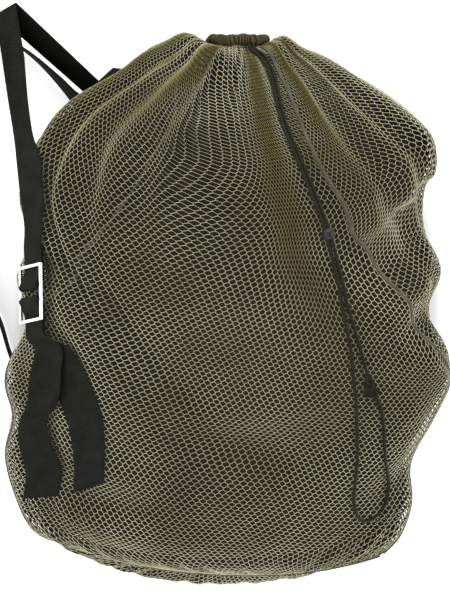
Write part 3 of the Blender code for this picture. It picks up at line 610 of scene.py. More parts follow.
def ripples(t, u):
    """Height of the small slack waves and of the creases toward the bottom seam."""
    angle = 2 * math.pi * u
    wave = np.sin(9 * angle + 22 * t + 2.0 * np.sin(4 * angle)) * np.cos(5 * angle - 14 * t)
    foot = math.exp(-((1 - t) / 0.12) ** 2) * (1 - math.exp(-(1 - t) / 0.03))
    crease = np.cos(26 * angle + 2.5 * np.sin(3 * angle)) + 0.6 * np.cos(41 * angle + 3.0)
    return 1.8 * wave * math.sin(math.pi * t) ** 0.7 + 1.5 * foot * crease


def puff(t, u):
    """How far the net puffs up round the drawn channel, away from the cord."""
    return (PUFF * np.exp(-((t - PUFF_PLACE) / PUFF_LENGTH) ** 2)
            * (1 - np.exp(-(round_distance(u, CORD_TURN) / CORD_CLEAR) ** 2)))


def bilinear(table, row, column):
    """Values of a table at fractional rows and columns."""
    i = np.clip(row.astype(int), 0, table.shape[0] - 2)
    j = np.clip(column.astype(int), 0, table.shape[1] - 2)
    a = (row - i)[:, None]
    b = (column - j)[:, None]
    return ((table[i, j] * (1 - b) + table[i, j + 1] * b) * (1 - a)
            + (table[i + 1, j] * (1 - b) + table[i + 1, j + 1] * b) * a)


class SkinTable:
    """Points, outward normals and bunching of the creased skin on a fine grid."""

    def __init__(self):
        self.t = np.linspace(0, 1, GRID_ROWS)
        self.u = np.linspace(0, 1, GRID_COLUMNS + 1)
        points = skin(self.t, self.u)
        points[..., 1] += puff(self.t[:, None], self.u[None, :])
        points[:, -1] = points[:, 0]
        self.smooth = points.copy()
        normal = self.normals(points)
        seam = np.minimum(1.0, FOLD_EASE * seam_distance(self.u))
        self.bunching = np.empty(points.shape[:2])
        for i, t in enumerate(self.t):
            self.bunching[i], height = folds_at(t, self.u)
            height = (height + ripples(t, self.u)) * seam
            points[i] += normal[i] * height[:, None]
        points[..., 2] = np.maximum(points[..., 2], 0.0)
        self.points = points
        self.normal = self.normals(points)
        self.bunch = np.clip(self.bunching, 0, 1.5)[..., None]

    @staticmethod
    def normals(points):
        around = np.gradient(points, axis=1)
        around[:, 0] = around[:, -1] = (points[:, 1] - points[:, -2]) / 2
        along = np.gradient(points, axis=0)
        normal = np.cross(around, along)
        return normal / np.maximum(np.linalg.norm(normal, axis=2, keepdims=True), 1e-9)

    @staticmethod
    def read(table, t, u):
        return bilinear(table, np.clip(t, 0, 1) * (GRID_ROWS - 1), np.clip(u, 0, 1) * GRID_COLUMNS)

    def at(self, t, u):
        point = self.read(self.points, t, u)
        normal = self.read(self.normal, t, u)
        return point, normal / np.maximum(np.linalg.norm(normal, axis=1, keepdims=True), 1e-9)


def drawn_down(t, u):
    """How far the net's rows are moved where the net is drawn together, and by its slack waves."""
    angle = 2 * math.pi * u
    moved = 4.0 * np.sin(4 * angle + 3 * t) + 1.6 * np.sin(7 * angle - 5 * t + 2.0)
    for row in DRAWN:
        place = dict(zip(DRAWN_COLUMNS, row))
        away = (t - place["t"]) / place["t_width"]
        near = np.exp(-(round_distance(u, place["u"]) / place["u_width"]) ** 2) * np.exp(-(away / 2.2) ** 2)
        held = place["pull"] / (1 - place["pull"])
        moved = moved + held * place["t_width"] * NET_LENGTH * np.tanh(away) * near
    return moved


class NetChart:
    """The net's own flat coordinates over one panel, in millimetres.

    At the mouth its rows are rings, drawn together in gathers. Further down they turn into
    straight rows, tilted as seen from above, as of a flat panel that lies over a bulge.
    """

    def __init__(self, table, first_u, last_u, tilt):
        first = round(first_u * GRID_COLUMNS)
        last = round(last_u * GRID_COLUMNS)
        self.first_u = first_u
        t = table.t[:, None]
        u = table.u[None, first:last + 1]
        x, y, z = np.moveaxis(table.smooth[:, first:last + 1], 2, 0)
        turn = math.radians(tilt)
        side = x * math.cos(turn) - y * math.sin(turn)
        ahead = x * math.sin(turn) + y * math.cos(turn)
        ease = np.clip((t - STRAIGHT_FROM) / (STRAIGHT_TO - STRAIGHT_FROM), 0, 1)
        straight = ease * ease * (3 - 2 * ease)

        dx = np.abs(np.diff(side, axis=1))
        step = dx + FLANK_SHARE * (np.hypot(dx, np.diff(z, axis=1)) - dx)
        step = straight * step + (1 - straight) * NET_GIRTH / GRID_COLUMNS
        density = np.exp(table.bunching[:, first:last + 1])
        held = step * (density[:, 1:] + density[:, :-1]) / 2
        held *= step.sum(axis=1, keepdims=True) / held.sum(axis=1, keepdims=True)
        across = np.concatenate([np.zeros((GRID_ROWS, 1)), np.cumsum(held, axis=1)], axis=1)
        middle = (last - first) // 2
        way = np.sign(side[GRID_ROWS // 2, -1] - side[GRID_ROWS // 2, 0])
        across += way * side[:, middle:middle + 1] - across[:, middle:middle + 1]

        dy = -np.diff(ahead, axis=0)
        length = np.hypot(dy, np.diff(z, axis=0))
        step = np.maximum(dy + SLOPE_SHARE * (length - np.abs(dy)), SLOPE_SHARE * length)
        fallen = np.concatenate([ahead[:1].mean() - ahead[:1], step]).cumsum(axis=0)
        down = straight * fallen + (1 - straight) * NET_LENGTH * t + drawn_down(t, u)

        # Toward the bottom seam the columns run together, and the rows run along it
        foot = round(FOOT_FROM * (GRID_ROWS - 1))
        across[foot:] = across[foot]
        down[foot:] = down[foot] + FOOT_SHARE * NET_LENGTH * (t[foot:] - t[foot])

        self.flat = np.stack([across, down], axis=2)
        self.slopes = np.concatenate([np.gradient(self.flat, axis=0), np.gradient(self.flat, axis=1)], axis=2)
        self.low = self.flat.min(axis=(0, 1))
        self.high = self.flat.max(axis=(0, 1))
        self.first_guess = self.guesses()

    def guesses(self):
        """The grid's row and column in each bin of the flat coordinates."""
        count = ((self.high - self.low) / BIN).astype(int) + 1
        found = np.full((*count, 2), np.nan)
        place = ((self.flat - self.low) / BIN).astype(int)
        rows, columns = np.meshgrid(*(np.arange(k) for k in self.flat.shape[:2]), indexing="ij")
        found[place[..., 0], place[..., 1]] = np.stack([rows, columns], axis=2)
        for _ in range(BIN_SPREAD):
            for axis in (0, 1):
                for way in (1, -1):
                    beside = np.roll(found, way, axis=axis)
                    found = np.where(np.isnan(found), beside, found)
        return np.nan_to_num(found, nan=0.0)

    def place(self, across, down):
        """t and u of flat coordinates, and how far off they stay where the panel has ended."""
        wanted = np.stack([across, down], axis=1)
        bins = ((wanted - self.low) / BIN).astype(int)
        bins = np.clip(bins, 0, np.array(self.first_guess.shape[:2]) - 1)
        row, column = self.first_guess[bins[:, 0], bins[:, 1]].T
        rows, columns = np.array(self.flat.shape[:2]) - 1
        for _ in range(NEWTON_STEPS):
            miss = wanted - bilinear(self.flat, row, column)
            a, c, b, d = bilinear(self.slopes, row, column).T
            area = a * d - b * c
            least = LEAST_AREA * np.where(area < 0, -1, 1)
            area = np.where(np.abs(area) < LEAST_AREA, least, area)
            ahead = (d * miss[:, 0] - b * miss[:, 1]) / area
            row = row + np.clip(ahead, -NEWTON_REACH, NEWTON_REACH)
            aside = (a * miss[:, 1] - c * miss[:, 0]) / area
            column = column + np.clip(aside, -NEWTON_REACH, NEWTON_REACH)
            row = np.clip(row, 0, rows)
            column = np.clip(column, 0, columns)
        miss = wanted - bilinear(self.flat, row, column)
        return row / rows, self.first_u + column / GRID_COLUMNS, np.linalg.norm(miss, axis=1)


def net_panel(name, table, first_u, last_u, tilt, material, replaced):
    """Strands of one panel, in an upper and a lower piece."""
    chart = NetChart(table, first_u, last_u, tilt)
    half = CELL_WIDTH / 2
    columns = np.arange(int(chart.low[0] / half) - 2, int(chart.high[0] / half) + 3)
    rows = np.arange(int(chart.low[1] / ROW_STEP) - 2, int(chart.high[1] / ROW_STEP) + 3)
    c, r = np.meshgrid(columns, rows)
    c_flat, r_flat = c.ravel(), r.ravel()
    t, _, miss = chart.place(c_flat * half, r_flat * ROW_STEP)
    inside = (miss < EDGE_REACH) & ((c_flat + r_flat) % 2 == 0)
    edge = (c_flat > columns[0]) & (c_flat < columns[-1]) & (r_flat > rows[0]) & (r_flat < rows[-1])
    kept = np.flatnonzero(inside & edge)

    # Corners round each cell as lattice sites: row shift, column shift, and 1 for the site's foot
    ring = ((0, 0, 0), (1, 1, 1), (-1, 1, 0), (0, 0, 1), (-1, -1, 0), (1, -1, 1))
    ridge = np.stack([(kept + dr * len(columns) + dc) * 2 + foot for dr, dc, foot in ring], axis=1)
    used, ridge = np.unique(ridge, return_inverse=True)
    ridge = ridge.reshape(len(kept), 6)
    site = used // 2
    tip = (ROW_STEP - CROSS_EDGE) * (1 - 2 * (used % 2))
    corner_t, corner_u, _ = chart.place(c_flat[site] * half, r_flat[site] * ROW_STEP + tip)
    inset = (SEAM_WIDTH / 2 + SEAM_INSET) / NET_GIRTH
    corner_u = np.clip(corner_u, first_u + inset, last_u - inset)
    ridge_point, ridge_normal = table.at(corner_t, corner_u)
    bunch = table.read(table.bunch, corner_t, corner_u)[:, 0]
    ridge_point = ridge_point + np.random.default_rng(7).normal(0.0, YARN_STRAY, ridge_point.shape)
    ridge_point[:, 2] = np.maximum(ridge_point[:, 2], CROWN_FLOOR)

    corner_point = ridge_point[ridge]
    inward = corner_point.mean(axis=1, keepdims=True) - corner_point
    distance = np.maximum(np.linalg.norm(inward, axis=2), 1e-6)
    under = np.clip((UNDER_FROM - ridge_normal[:, 2]) / UNDER_FADE, 0, 1)
    strand = TOP_STRAND + (UNDER_STRAND - TOP_STRAND) * under
    fill = TOP_FILL + (UNDER_FILL - TOP_FILL) * under
    share = np.minimum(strand[ridge] / 2 * np.array(KNOT_WIDTHS) / distance, fill[ridge])
    hole = corner_point + inward * share[..., None] - ridge_normal[ridge] * STRAND_HEIGHT
    hole[..., 2] = np.maximum(hole[..., 2], FOOT_FLOOR)
    near = t[kept] < PART_AT
    for part, chosen in (("upper", near), ("lower", ~near)):
        cells = np.flatnonzero(chosen)
        mine, local = np.unique(ridge[cells], return_inverse=True)
        local = local.reshape(len(cells), 6)
        first = len(mine)
        holes = first + np.arange(len(cells) * 6).reshape(len(cells), 6)
        vertices = np.concatenate([ridge_point[mine], hole[cells].reshape(-1, 3)])
        after = np.roll(local, -1, axis=1)
        hole_after = np.roll(holes, -1, axis=1)
        faces = np.stack([local, after, hole_after, holes], axis=2).reshape(-1, 4)
        piece = new_mesh(f"{name}_{part}", vertices, faces, material, "net", replaced)
        # painted shade: the yarn's crowns are darker on the underside, and its foot at the holes is dark
        crown = np.concatenate([1 - (1 - UNDER_SHADE_TONE) * under[mine], np.zeros(len(cells) * 6)])
        bunched = np.concatenate([bunch[mine], bunch[ridge[cells]].ravel()])
        point_values(piece, crown=crown, bunch=bunched)


# Tubes, seams and hem

LEAST_HINT = 0.2        # length of a first side direction that is square enough to the line


def sweep(points, ring):
    """Vertices of section points (side, up) that follow a line."""
    run = unit(np.gradient(points, axis=0))
    side = np.empty_like(points)
    hint = np.cross(run[0], (0.0, 0.0, 1.0))
    if np.linalg.norm(hint) < LEAST_HINT:
        hint = np.cross(run[0], (0.0, 1.0, 0.0))
    for i, way in enumerate(run):
        hint = hint - way * np.dot(hint, way)
        hint /= np.linalg.norm(hint)
        side[i] = hint
    up = np.cross(side, run)
    return (points[:, None] + side[:, None] * ring[..., :1] + up[:, None] * ring[..., 1:]).reshape(-1, 3)


def tube_faces(count, size, closed=False):
    """Faces between the sections of a tube, and back to its first one where it is closed."""
    i, k = np.meshgrid(np.arange(count if closed else count - 1), np.arange(size), indexing="ij")
    here = i * size
    ahead = (i + 1) % count * size
    beside = (k + 1) % size
    return np.stack([here + k, here + beside, ahead + beside, ahead + k], axis=2).reshape(-1, 4)


def capped_tube(vertices, size):
    """Vertices and faces of a tube with a middle point at each end and triangles to it."""
    start = len(vertices)
    last = start - size
    faces = tube_faces(start // size, size).tolist()
    faces += [((k + 1) % size, k, start) for k in range(size)]
    faces += [(last + k, last + (k + 1) % size, start + 1) for k in range(size)]
    return np.concatenate([vertices, [vertices[:size].mean(axis=0), vertices[last:].mean(axis=0)]]), faces


BRAID_SIDES = 24
BRAID_STEP = 1.15
BRAID_PITCH = 9.5       # along the cord for one turn of a strand
BRAID_STRANDS = 8
BRAID_RELIEF = 0.05     # share of the radius that the strands rise by, and how squarely they do
BRAID_EDGE = 0.6


def braided_cord(node_name, points, material):
    """A round cord with the raised diamonds of its braid."""
    line = smooth_line(points, BRAID_STEP)
    along = np.arange(len(line)) * BRAID_STEP
    turn = full_turn(BRAID_SIDES)
    twist = 2 * math.pi * along[:, None] / BRAID_PITCH
    weave = np.cos(BRAID_STRANDS / 2 * (turn + twist)) * np.cos(BRAID_STRANDS / 2 * (turn - twist))
    radius = CORD_DIAMETER / 2 * (1.0 + BRAID_RELIEF * np.abs(weave) ** BRAID_EDGE)
    ring = np.stack([radius * np.cos(turn), radius * np.sin(turn)], axis=2)
    tube = capped_tube(sweep(line, ring), BRAID_SIDES)
    return new_mesh(f"{node_name}_braid", *tube, material, "cord", node_name), line


BINDING_STEP = 1.6
BINDING_SIDES = 12
BINDING_FULL = 0.95     # share of the seam's width and height that the binding fills between stitches
BINDING_SQUARE = (0.7, 0.8)     # how squarely it is rounded, across and up
STITCH_PITCH = 5.2
STITCH_RISE = 0.10
SIDE_SEAM_SPAN = (0.012, 0.993)
BOTTOM_SEAM_SPAN = (0.0025, 0.4975)
SEAM_SAMPLES = 60


def bound_seam(node_name, line, outward, material):
    """A rounded binding with whipped stitches over it."""
    joined = smooth_line(np.concatenate([line, outward], axis=1), BINDING_STEP)
    centre = joined[:, :3]
    normal = unit(joined[:, 3:])
    across = unit(np.cross(np.gradient(centre, axis=0), normal))
    turn = full_turn(BINDING_SIDES)
    along = np.arange(len(centre)) * BINDING_STEP
    whip = 1 + STITCH_RISE * np.cos(2 * math.pi * along[:, None] / STITCH_PITCH + turn[None, :])
    wide = squared(np.cos(turn), BINDING_SQUARE[0]) * whip * SEAM_WIDTH / 2 * BINDING_FULL
    tall = squared(np.sin(turn), BINDING_SQUARE[1]) * whip * SEAM_HEIGHT / 2 * BINDING_FULL
    vertices = centre[:, None] + across[:, None] * wide[..., None] + normal[:, None] * tall[..., None]
    vertices = vertices.reshape(-1, 3)
    vertices[:, 2] = np.maximum(vertices[:, 2], FOOT_FLOOR)
    tube = capped_tube(vertices, BINDING_SIDES)
    new_mesh(f"{node_name}_binding", *tube, material, "binding", node_name)


def side_seam_line(u):
    """Points and outward directions of a side seam, along the puffed skin."""
    t = np.linspace(*SIDE_SEAM_SPAN, SEAM_SAMPLES)
    point, normal = skin_and_normal(t, np.array([u]))
    line = point[:, 0]
    line[:, 1] += puff(t, u)
    return line, normal[:, 0]


def bottom_seam_line():
    """The same of the bottom seam, midway between the panels."""
    columns = np.linspace(*BOTTOM_SEAM_SPAN, SEAM_SAMPLES)
    centre = (skin([1.0], columns)[0] + skin([1.0], 1 - columns)[0]) / 2
    centre[:, 2] = BOTTOM_SEAM_Z
    return centre, flat_outward(centre)


HEM_AROUND = 560
HEM_SECTION = 40
HEM_GATHERS = 61
# share of the bunched net's painted shade that the hem gets
HEM_BUNCH_SHADE = 0.85


def gathered_hem(material):
    """The channel round the mouth: net bunched on the cord, in uneven folds whose grooves are darkened with
    painted shade.
    """
    angle = full_turn(HEM_AROUND)[:, None]
    turn = full_turn(HEM_SECTION)[None, :]
    lump = np.cos(PLEATS * angle)
    drift = 2.5 * np.sin(3 * angle) + 1.4 * np.sin(8 * angle + 2.0) + 0.9 * np.sin(turn + 2 * angle)
    ridge = np.abs(np.cos(HEM_GATHERS / 2 * angle + drift)) ** 0.55
    fibre = np.cos(23 * turn + 5 * np.sin(9 * angle)) * np.cos(190 * angle)
    radius = HEM_RADIUS + HEM_LUMP[0] * lump + 0.6 * np.sin(3 * angle + 1)
    tube = HEM_TUBE + HEM_LUMP[1] * lump + 1.5 * (ridge - 0.75)
    tube = tube + 0.5 * np.sin(5 * angle + 2 * turn) + 0.14 * fibre
    r = radius + tube * np.cos(turn)
    vertices = np.stack([HEM_CENTRE[0] + r * np.cos(angle),
                         HEM_CENTRE[1] + tube * np.sin(turn) + 0.9 * np.sin(5 * angle + 0.7),
                         HEM_CENTRE[2] + r * np.sin(angle)], axis=2).reshape(-1, 3)
    faces = tube_faces(HEM_AROUND, HEM_SECTION, closed=True)
    piece = new_mesh("gathered_hem", vertices, faces, material, "binding", "top_hem")
    # painted shade: the crown value is low in the grooves between the gathers, with a fibre pattern over it
    hem_groove_shade = np.clip(0.42 * ridge + 0.15 * fibre - 0.05, 0, 1) * np.ones_like(turn)
    point_values(piece, crown=hem_groove_shade, bunch=np.full_like(hem_groove_shade, HEM_BUNCH_SHADE))


# Webbing

WEBBING_STEPS = 14      # across it
SELVEDGE_FROM = 0.85    # of the half width
EDGE_FROM = 0.999
EDGE_SHARE = 0.35       # of the thickness, at the very edge and in the weave between the selvedges
WEAVE_SHARE = 0.86
LEG_STEPS = 12


def webbing(node_name, stations, material):
    """Woven strap through stations, with rounded selvedges and UV in metres along and across."""
    line = np.asarray(stations, float)
    share = np.linspace(0, 1, WEBBING_STEPS + 1)[None, :, None]
    columns = line[:, :1] * (1 - share) + line[:, 1:] * share
    run = np.gradient(columns[:, WEBBING_STEPS // 2], axis=0)
    normal = unit(np.cross(columns[:, -1] - columns[:, 0], run))
    across = np.abs(share[0, :, 0] - 0.5) * 2
    thick = np.where(across > SELVEDGE_FROM, 1.0, WEAVE_SHARE)
    thick = np.where(across > EDGE_FROM, EDGE_SHARE, thick)
    half = normal[:, None, :] * (WEBBING_THICKNESS / 2 * thick)[None, :, None]
    section = np.concatenate([columns + half, (columns - half)[:, ::-1]], axis=1)
    count, size, _ = section.shape
    along = distances(line.mean(axis=1))
    v = np.repeat(along[:, None], size, axis=1) * MM
    u = np.concatenate([share[0, :, 0], share[0, ::-1, 0]]) * WEBBING_WIDTH * MM
    u = np.repeat(u[None, :], count, axis=0)
    middle_u = WEBBING_WIDTH / 2 * MM
    uv = np.concatenate([np.stack([u, v], axis=2).reshape(-1, 2),
                         [[middle_u, 0.0], [middle_u, along[-1] * MM]]])
    tube = capped_tube(section.reshape(-1, 3), size)
    new_mesh(f"{node_name}_webbing", *tube, material, "webbing", node_name, uv=uv)


def leg(start, end):
    """The stations of a straight leg between two others."""
    return np.linspace(np.array(start), np.array(end), LEG_STEPS)[1:-1].tolist()


def skin_stations(sack, route, run):
    """Stations over the sack: x, y, height above it and the tilt, where there is one."""
    return [skin_station(sack, x, y, lift, run, *tilt) for x, y, lift, *tilt in route]


def strap_a_stations(sack, place):
    """From the sewn end, over the three folds and the flank, and round the slide's first bar."""
    under = [sewn_under(sack, pair) for pair in STRAP_A_UNDER]
    stations = smooth_band([*under, STRAP_A_RISE, FOLD_T])[:-1]
    ramp_top = STRAP_A_RAMP[0]
    corners = [FOLD_T, FOLD_V, FOLD_A, (ramp_top[:3], ramp_top[3:])]
    before = stations[-1]
    for corner, after in zip(corners, corners[1:]):
        folded = crease(before, corner, after)
        stations += leg(stations[-1], folded[0]) + folded
        before = corner
    lead_in = [place.station(y, z) for y, z in LEAD_IN]
    ramp = smooth_band([*STRAP_A_RAMP, *skin_stations(sack, STRAP_A_FLANK, FLANK_RUN), *lead_in])
    stations += leg(stations[-1], ramp[0]) + ramp
    stations += [place.station(*BAR_ENTRY)]
    stations += place.loop(INNER_BAR, 1.0)
    return stations + [place.station(y, RETURN_DEPTH) for y in np.linspace(*RETURN_ABOVE, RETURN_STEPS)]


def adjuster_stations(sack, place):
    """From the loose tail, round the slide's second bar, and down to the sewn end."""
    tail = skin_stations(sack, reversed(TAIL_A), TAIL_RUN)
    tail += [place.station(y, z) for y, z in LEAD_OUT]
    stations = smooth_band(tail)
    stations += [place.station(-BAR_ENTRY[0], BAR_ENTRY[1])]
    stations += place.loop(-INNER_BAR, -1.0)
    down = [place.station(y, RETURN_DEPTH) for y in RETURN_BELOW]
    return stations + smooth_band(down + skin_stations(sack, ANCHOR_A, ANCHOR_RUN))


def strap_b_stations(sack):
    """Between its two sewn ends under the sack."""
    return smooth_band([sewn_under(sack, STRAP_B_TOP), *STRAP_B, sewn_under(sack, STRAP_B_FOOT)])


# Hard parts

SLIDE_BEVEL = 1.1
SLIDE_SHARP = math.radians(40)
LOCK_SHARP = math.radians(35)
LOCK_ROWS = 40
LOCK_COLUMNS = 64
RIM_PLACE = 0.42        # of the radius, for the place, width and depth of the button's rim
RIM_WIDTH = 0.05
RIM_DEPTH = 0.055
BUTTON_SHARE = 0.985    # of the lock's radius
TUNNEL_SIDES = 32
TUNNEL_CLEAR = 0.6      # round each strand
WELD_REACH = 1e-6


def slide(place, material):
    """The bright metal slide: a flat frame with two inner bars and softly rounded edges."""
    half_w = BUCKLE_WIDTH / 2
    half_l = BUCKLE_LENGTH / 2
    rail = BUCKLE_BAR / 2
    levels = [-half_l, -half_l + BUCKLE_BAR, -INNER_BAR - rail, -INNER_BAR + rail,
              INNER_BAR - rail, INNER_BAR + rail, half_l - BUCKLE_BAR, half_l]
    across = [-half_w, -half_w + BUCKLE_BAR, half_w - BUCKLE_BAR, half_w]
    made = bmesh.new()
    grid = {}
    for k, z in enumerate((-rail, rail)):
        for i, y in enumerate(levels):
            for j, x in enumerate(across):
                grid[i, j, k] = made.verts.new(place.at(x, y, z) * MM)
    solid = {(i, j) for i in range(7) for j in range(3) if j != 1 or i % 2 == 0}
    for i, j in solid:
        made.faces.new([grid[i, j, 1], grid[i, j + 1, 1], grid[i + 1, j + 1, 1], grid[i + 1, j, 1]])
        made.faces.new([grid[i + 1, j, 0], grid[i + 1, j + 1, 0], grid[i, j + 1, 0], grid[i, j, 0]])
        for near, a, b in (((i - 1, j), (i, j), (i, j + 1)), ((i + 1, j), (i + 1, j + 1), (i + 1, j)),
                           ((i, j - 1), (i + 1, j), (i, j)), ((i, j + 1), (i, j + 1), (i + 1, j + 1))):
            if near not in solid:
                made.faces.new([grid[(*a, 0)], grid[(*b, 0)], grid[(*b, 1)], grid[(*a, 1)]])
    made.normal_update()
    bmesh.ops.dissolve_limit(made, angle_limit=math.radians(1), verts=made.verts, edges=made.edges)
    sharp = [e for e in made.edges if e.is_manifold and e.calc_face_angle() > SLIDE_SHARP]
    bmesh.ops.bevel(made, geom=sharp, offset=SLIDE_BEVEL * MM, segments=3, affect="EDGES", profile=0.5,
                    clamp_overlap=True)
    mesh = bpy.data.meshes.new("metal_slide")
    made.to_mesh(mesh)
    made.free()
    mesh.shade_smooth()
    mesh.set_sharp_from_angle(angle=SLIDE_SHARP)
    add_piece("metal_slide", mesh, material, "buckle", "buckle_a")


def lock_tunnel(middle, basis):
    """A flattened tube through the lock, to cut the tunnel for both strands."""
    angle = full_turn(TUNNEL_SIDES)
    radius = CORD_DIAMETER / 2 + TUNNEL_CLEAR
    side = radius * np.cos(angle) + np.where(np.cos(angle) > 0, CORD_SPREAD, -CORD_SPREAD)
    ends = [np.stack([side, np.full(TUNNEL_SIDES, end * 2 * LOCK_RADIUS), radius * np.sin(angle)], axis=1)
            for end in (-1, 1)]
    points = (np.concatenate(ends) @ basis + middle) * MM
    caps = [list(range(TUNNEL_SIDES)), list(range(2 * TUNNEL_SIDES - 1, TUNNEL_SIDES - 1, -1))]
    faces = caps + tube_faces(2, TUNNEL_SIDES)[:, (1, 0, 3, 2)].tolist()
    mesh = bpy.data.meshes.new("lock_tunnel")
    mesh.from_pydata(points.tolist(), [], faces)
    return linked("lock_tunnel", mesh)


def lock_ball(sack, material):
    """The round cord lock, with its press button's rim and the tunnel for both strands."""
    line = [Vector(p) for p in lay(sack, CORD_PAIR[-3:])]
    axis = (line[2] - line[0]).normalized()
    side = axis.cross(Vector((0, 0, 1))).normalized()
    basis = np.array([side[:], axis[:], side.cross(axis)[:]])
    middle = np.array(line[1])
    polar = np.linspace(0, math.pi, LOCK_ROWS + 1)[:, None]
    turn = full_turn(LOCK_COLUMNS)[None, :]
    height = np.cos(polar) * np.ones_like(turn)
    radius = LOCK_RADIUS * (1 - RIM_DEPTH * np.exp(-((height - RIM_PLACE) / RIM_WIDTH) ** 2))
    radius = radius * np.where(height > RIM_PLACE, BUTTON_SHARE, 1.0)
    sphere = np.stack([height, np.sin(polar) * np.cos(turn), np.sin(polar) * np.sin(turn)], axis=2)
    vertices = (sphere * radius[..., None] @ basis + middle).reshape(-1, 3)
    faces = tube_faces(LOCK_ROWS + 1, LOCK_COLUMNS)[:, (0, 3, 2, 1)]
    ball = new_mesh("cord_lock_ball", vertices, faces, material, "lock", "cord_lock")
    weld = bmesh.new()
    weld.from_mesh(ball.data)
    bmesh.ops.remove_doubles(weld, verts=weld.verts, dist=WELD_REACH)
    bmesh.ops.recalc_face_normals(weld, faces=weld.faces)
    weld.to_mesh(ball.data)
    weld.free()
    cutter = lock_tunnel(middle, basis)
    cut = ball.modifiers.new("tunnel", "BOOLEAN")
    cut.object = cutter
    bpy.context.view_layer.update()
    done = bpy.data.meshes.new_from_object(ball.evaluated_get(bpy.context.evaluated_depsgraph_get()))
    ball.modifiers.clear()
    ball.data = done
    done.shade_smooth()
    done.set_sharp_from_angle(angle=LOCK_SHARP)
    bpy.data.objects.remove(cutter)
    return ball


KNOT_STEPS = 220
KNOT_SIDES = 16
KNOT_CORD = 2.3         # radius of the cord in the knot, whose turns lie tight on each other
KNOT_LOBES = (3.6, 1.7)     # radius of the knot's turns, and how far it varies
KNOT_STRETCH = 1.6
KNOT_SHIFT = 1.5        # along the knot, of its turns
KNOT_DEPTH = 2.5
KNOT_TWIST = 14         # waves of the braid in one round of the knot
TUFT_FIBRES = 280
TUFT_TOP = 4.0          # along the knot, from its middle
TUFT_LENGTH = 19.0
TUFT_NECK = 4.0         # half widths of the frayed ends, where they leave the knot and at their tips
TUFT_SPREAD = 12.0
TUFT_LIFT = 1.2         # of the tips, off the net
TUFT_DEPTH = (-2.2, 1.4)
FIBRE_RADIUS = 0.5
FIBRE_STEPS = 6
FIBRE_SIDES = 5


def knot_axes(sack):
    """The middle of the knot and its three directions: across, along and away from the sack."""
    point, _ = sack.above(*KNOT_PLACE)
    normal = sack.slope(*KNOT_PLACE, CORD_PATCH)
    along = Vector(KNOT_RUN)
    along = (along - normal * along.dot(normal)).normalized()
    return np.array(point + normal * KNOT_LIFT), np.array([along.cross(normal)[:], along[:], normal[:]])


def overhand_knot(sack, material):
    """The two cord ends tied in one knot, whose turns lie round each other."""
    middle, basis = knot_axes(sack)
    turn = full_turn(KNOT_STEPS)
    radius = KNOT_LOBES[0] + KNOT_LOBES[1] * np.cos(3 * turn)
    path = np.stack([radius * np.cos(2 * turn), KNOT_SHIFT + KNOT_STRETCH * radius * np.sin(2 * turn),
                     KNOT_DEPTH * np.sin(3 * turn)], axis=1) @ basis + middle
    run = unit(np.roll(path, -1, axis=0) - np.roll(path, 1, axis=0))
    out = path - middle
    out = unit(out - run * np.sum(out * run, axis=1, keepdims=True))
    side = np.cross(run, out)
    angle = full_turn(KNOT_SIDES)
    twist = turn[:, None] * KNOT_TWIST
    weave = np.cos(4 * angle[None, :] + twist) * np.cos(4 * angle[None, :] - twist)
    r = KNOT_CORD * (0.95 + 0.05 * np.abs(weave))
    vertices = (path[:, None] + out[:, None] * (r * np.cos(angle))[..., None]
                + side[:, None] * (r * np.sin(angle))[..., None]).reshape(-1, 3)
    faces = tube_faces(KNOT_STEPS, KNOT_SIDES, closed=True)
    return new_mesh("overhand_knot", vertices, faces, material, "cord", "cord_knot")


def frayed_ends(sack, material):
    """The tuft of loose yarns that the two cut cord ends fray into below the knot."""
    middle, basis = knot_axes(sack)
    chance = np.random.default_rng(11)
    vertices = []
    faces = []
    share = np.linspace(0, 1, FIBRE_STEPS)
    angle = full_turn(FIBRE_SIDES)
    radius = FIBRE_RADIUS * np.where(share > 0.9, 0.6, 1.0)[:, None]
    ring = np.stack([radius * np.cos(angle), radius * np.sin(angle)], axis=2)
    for place in np.linspace(-1, 1, TUFT_FIBRES):
        place += chance.normal(0.0, 0.03)
        length = TUFT_LENGTH * (1 + chance.normal(0.0, 0.05))
        depth = chance.uniform(*TUFT_DEPTH)
        sway = chance.normal(0.0, 0.6)
        x = place * (TUFT_NECK + (TUFT_SPREAD - TUFT_NECK) * share ** 1.3) + sway * share * (1 - share)
        y = TUFT_TOP - length * share * (1 - 0.12 * place * place)
        z = depth * (1 - 0.5 * share) + TUFT_LIFT * share
        points = np.stack([x, y, z], axis=1) @ basis + middle
        fibre, closed = capped_tube(sweep(points, ring), FIBRE_SIDES)
        first = sum(len(part) for part in vertices)
        faces += [tuple(first + k for k in face) for face in closed]
        vertices.append(fibre)
    return new_mesh("frayed_cord_ends", np.concatenate(vertices), faces, material, "cord", "cord_knot")


# Colours (linear)

NET_DEEP = (0.39, 0.37, 0.235)
NET_PALE = (0.60, 0.58, 0.41)
# painted shade of the net where it is bunched into folds
NET_BUNCHED_SHADE = (0.20, 0.17, 0.06)
NET_FOOT_SHADE = (0.016, 0.014, 0.004)    # painted shade of the yarn: tints of its foot, of its flank and of its crown
NET_FLANK_SHADE = (0.10, 0.094, 0.05)
WHITE = (1.0, 1.0, 1.0)
BLACK = (0.0, 0.0, 0.0)
BINDING_DEEP = (0.03, 0.028, 0.014)
BINDING_PALE = (0.07, 0.064, 0.032)
WEBBING_DEEP = (0.0098, 0.0102, 0.008)
WEBBING_PALE = (0.016, 0.0168, 0.0132)
RIB_GROOVE_SHADE = (0.62, 0.62, 0.62)
CORD_DEEP = (0.010, 0.010, 0.006)
CORD_PALE = (0.022, 0.022, 0.013)
LOCK_DEEP = (0.012, 0.012, 0.010)
LOCK_PALE = (0.019, 0.019, 0.016)
METAL_DEEP = (0.80, 0.80, 0.79)
METAL_PALE = (0.93, 0.93, 0.92)
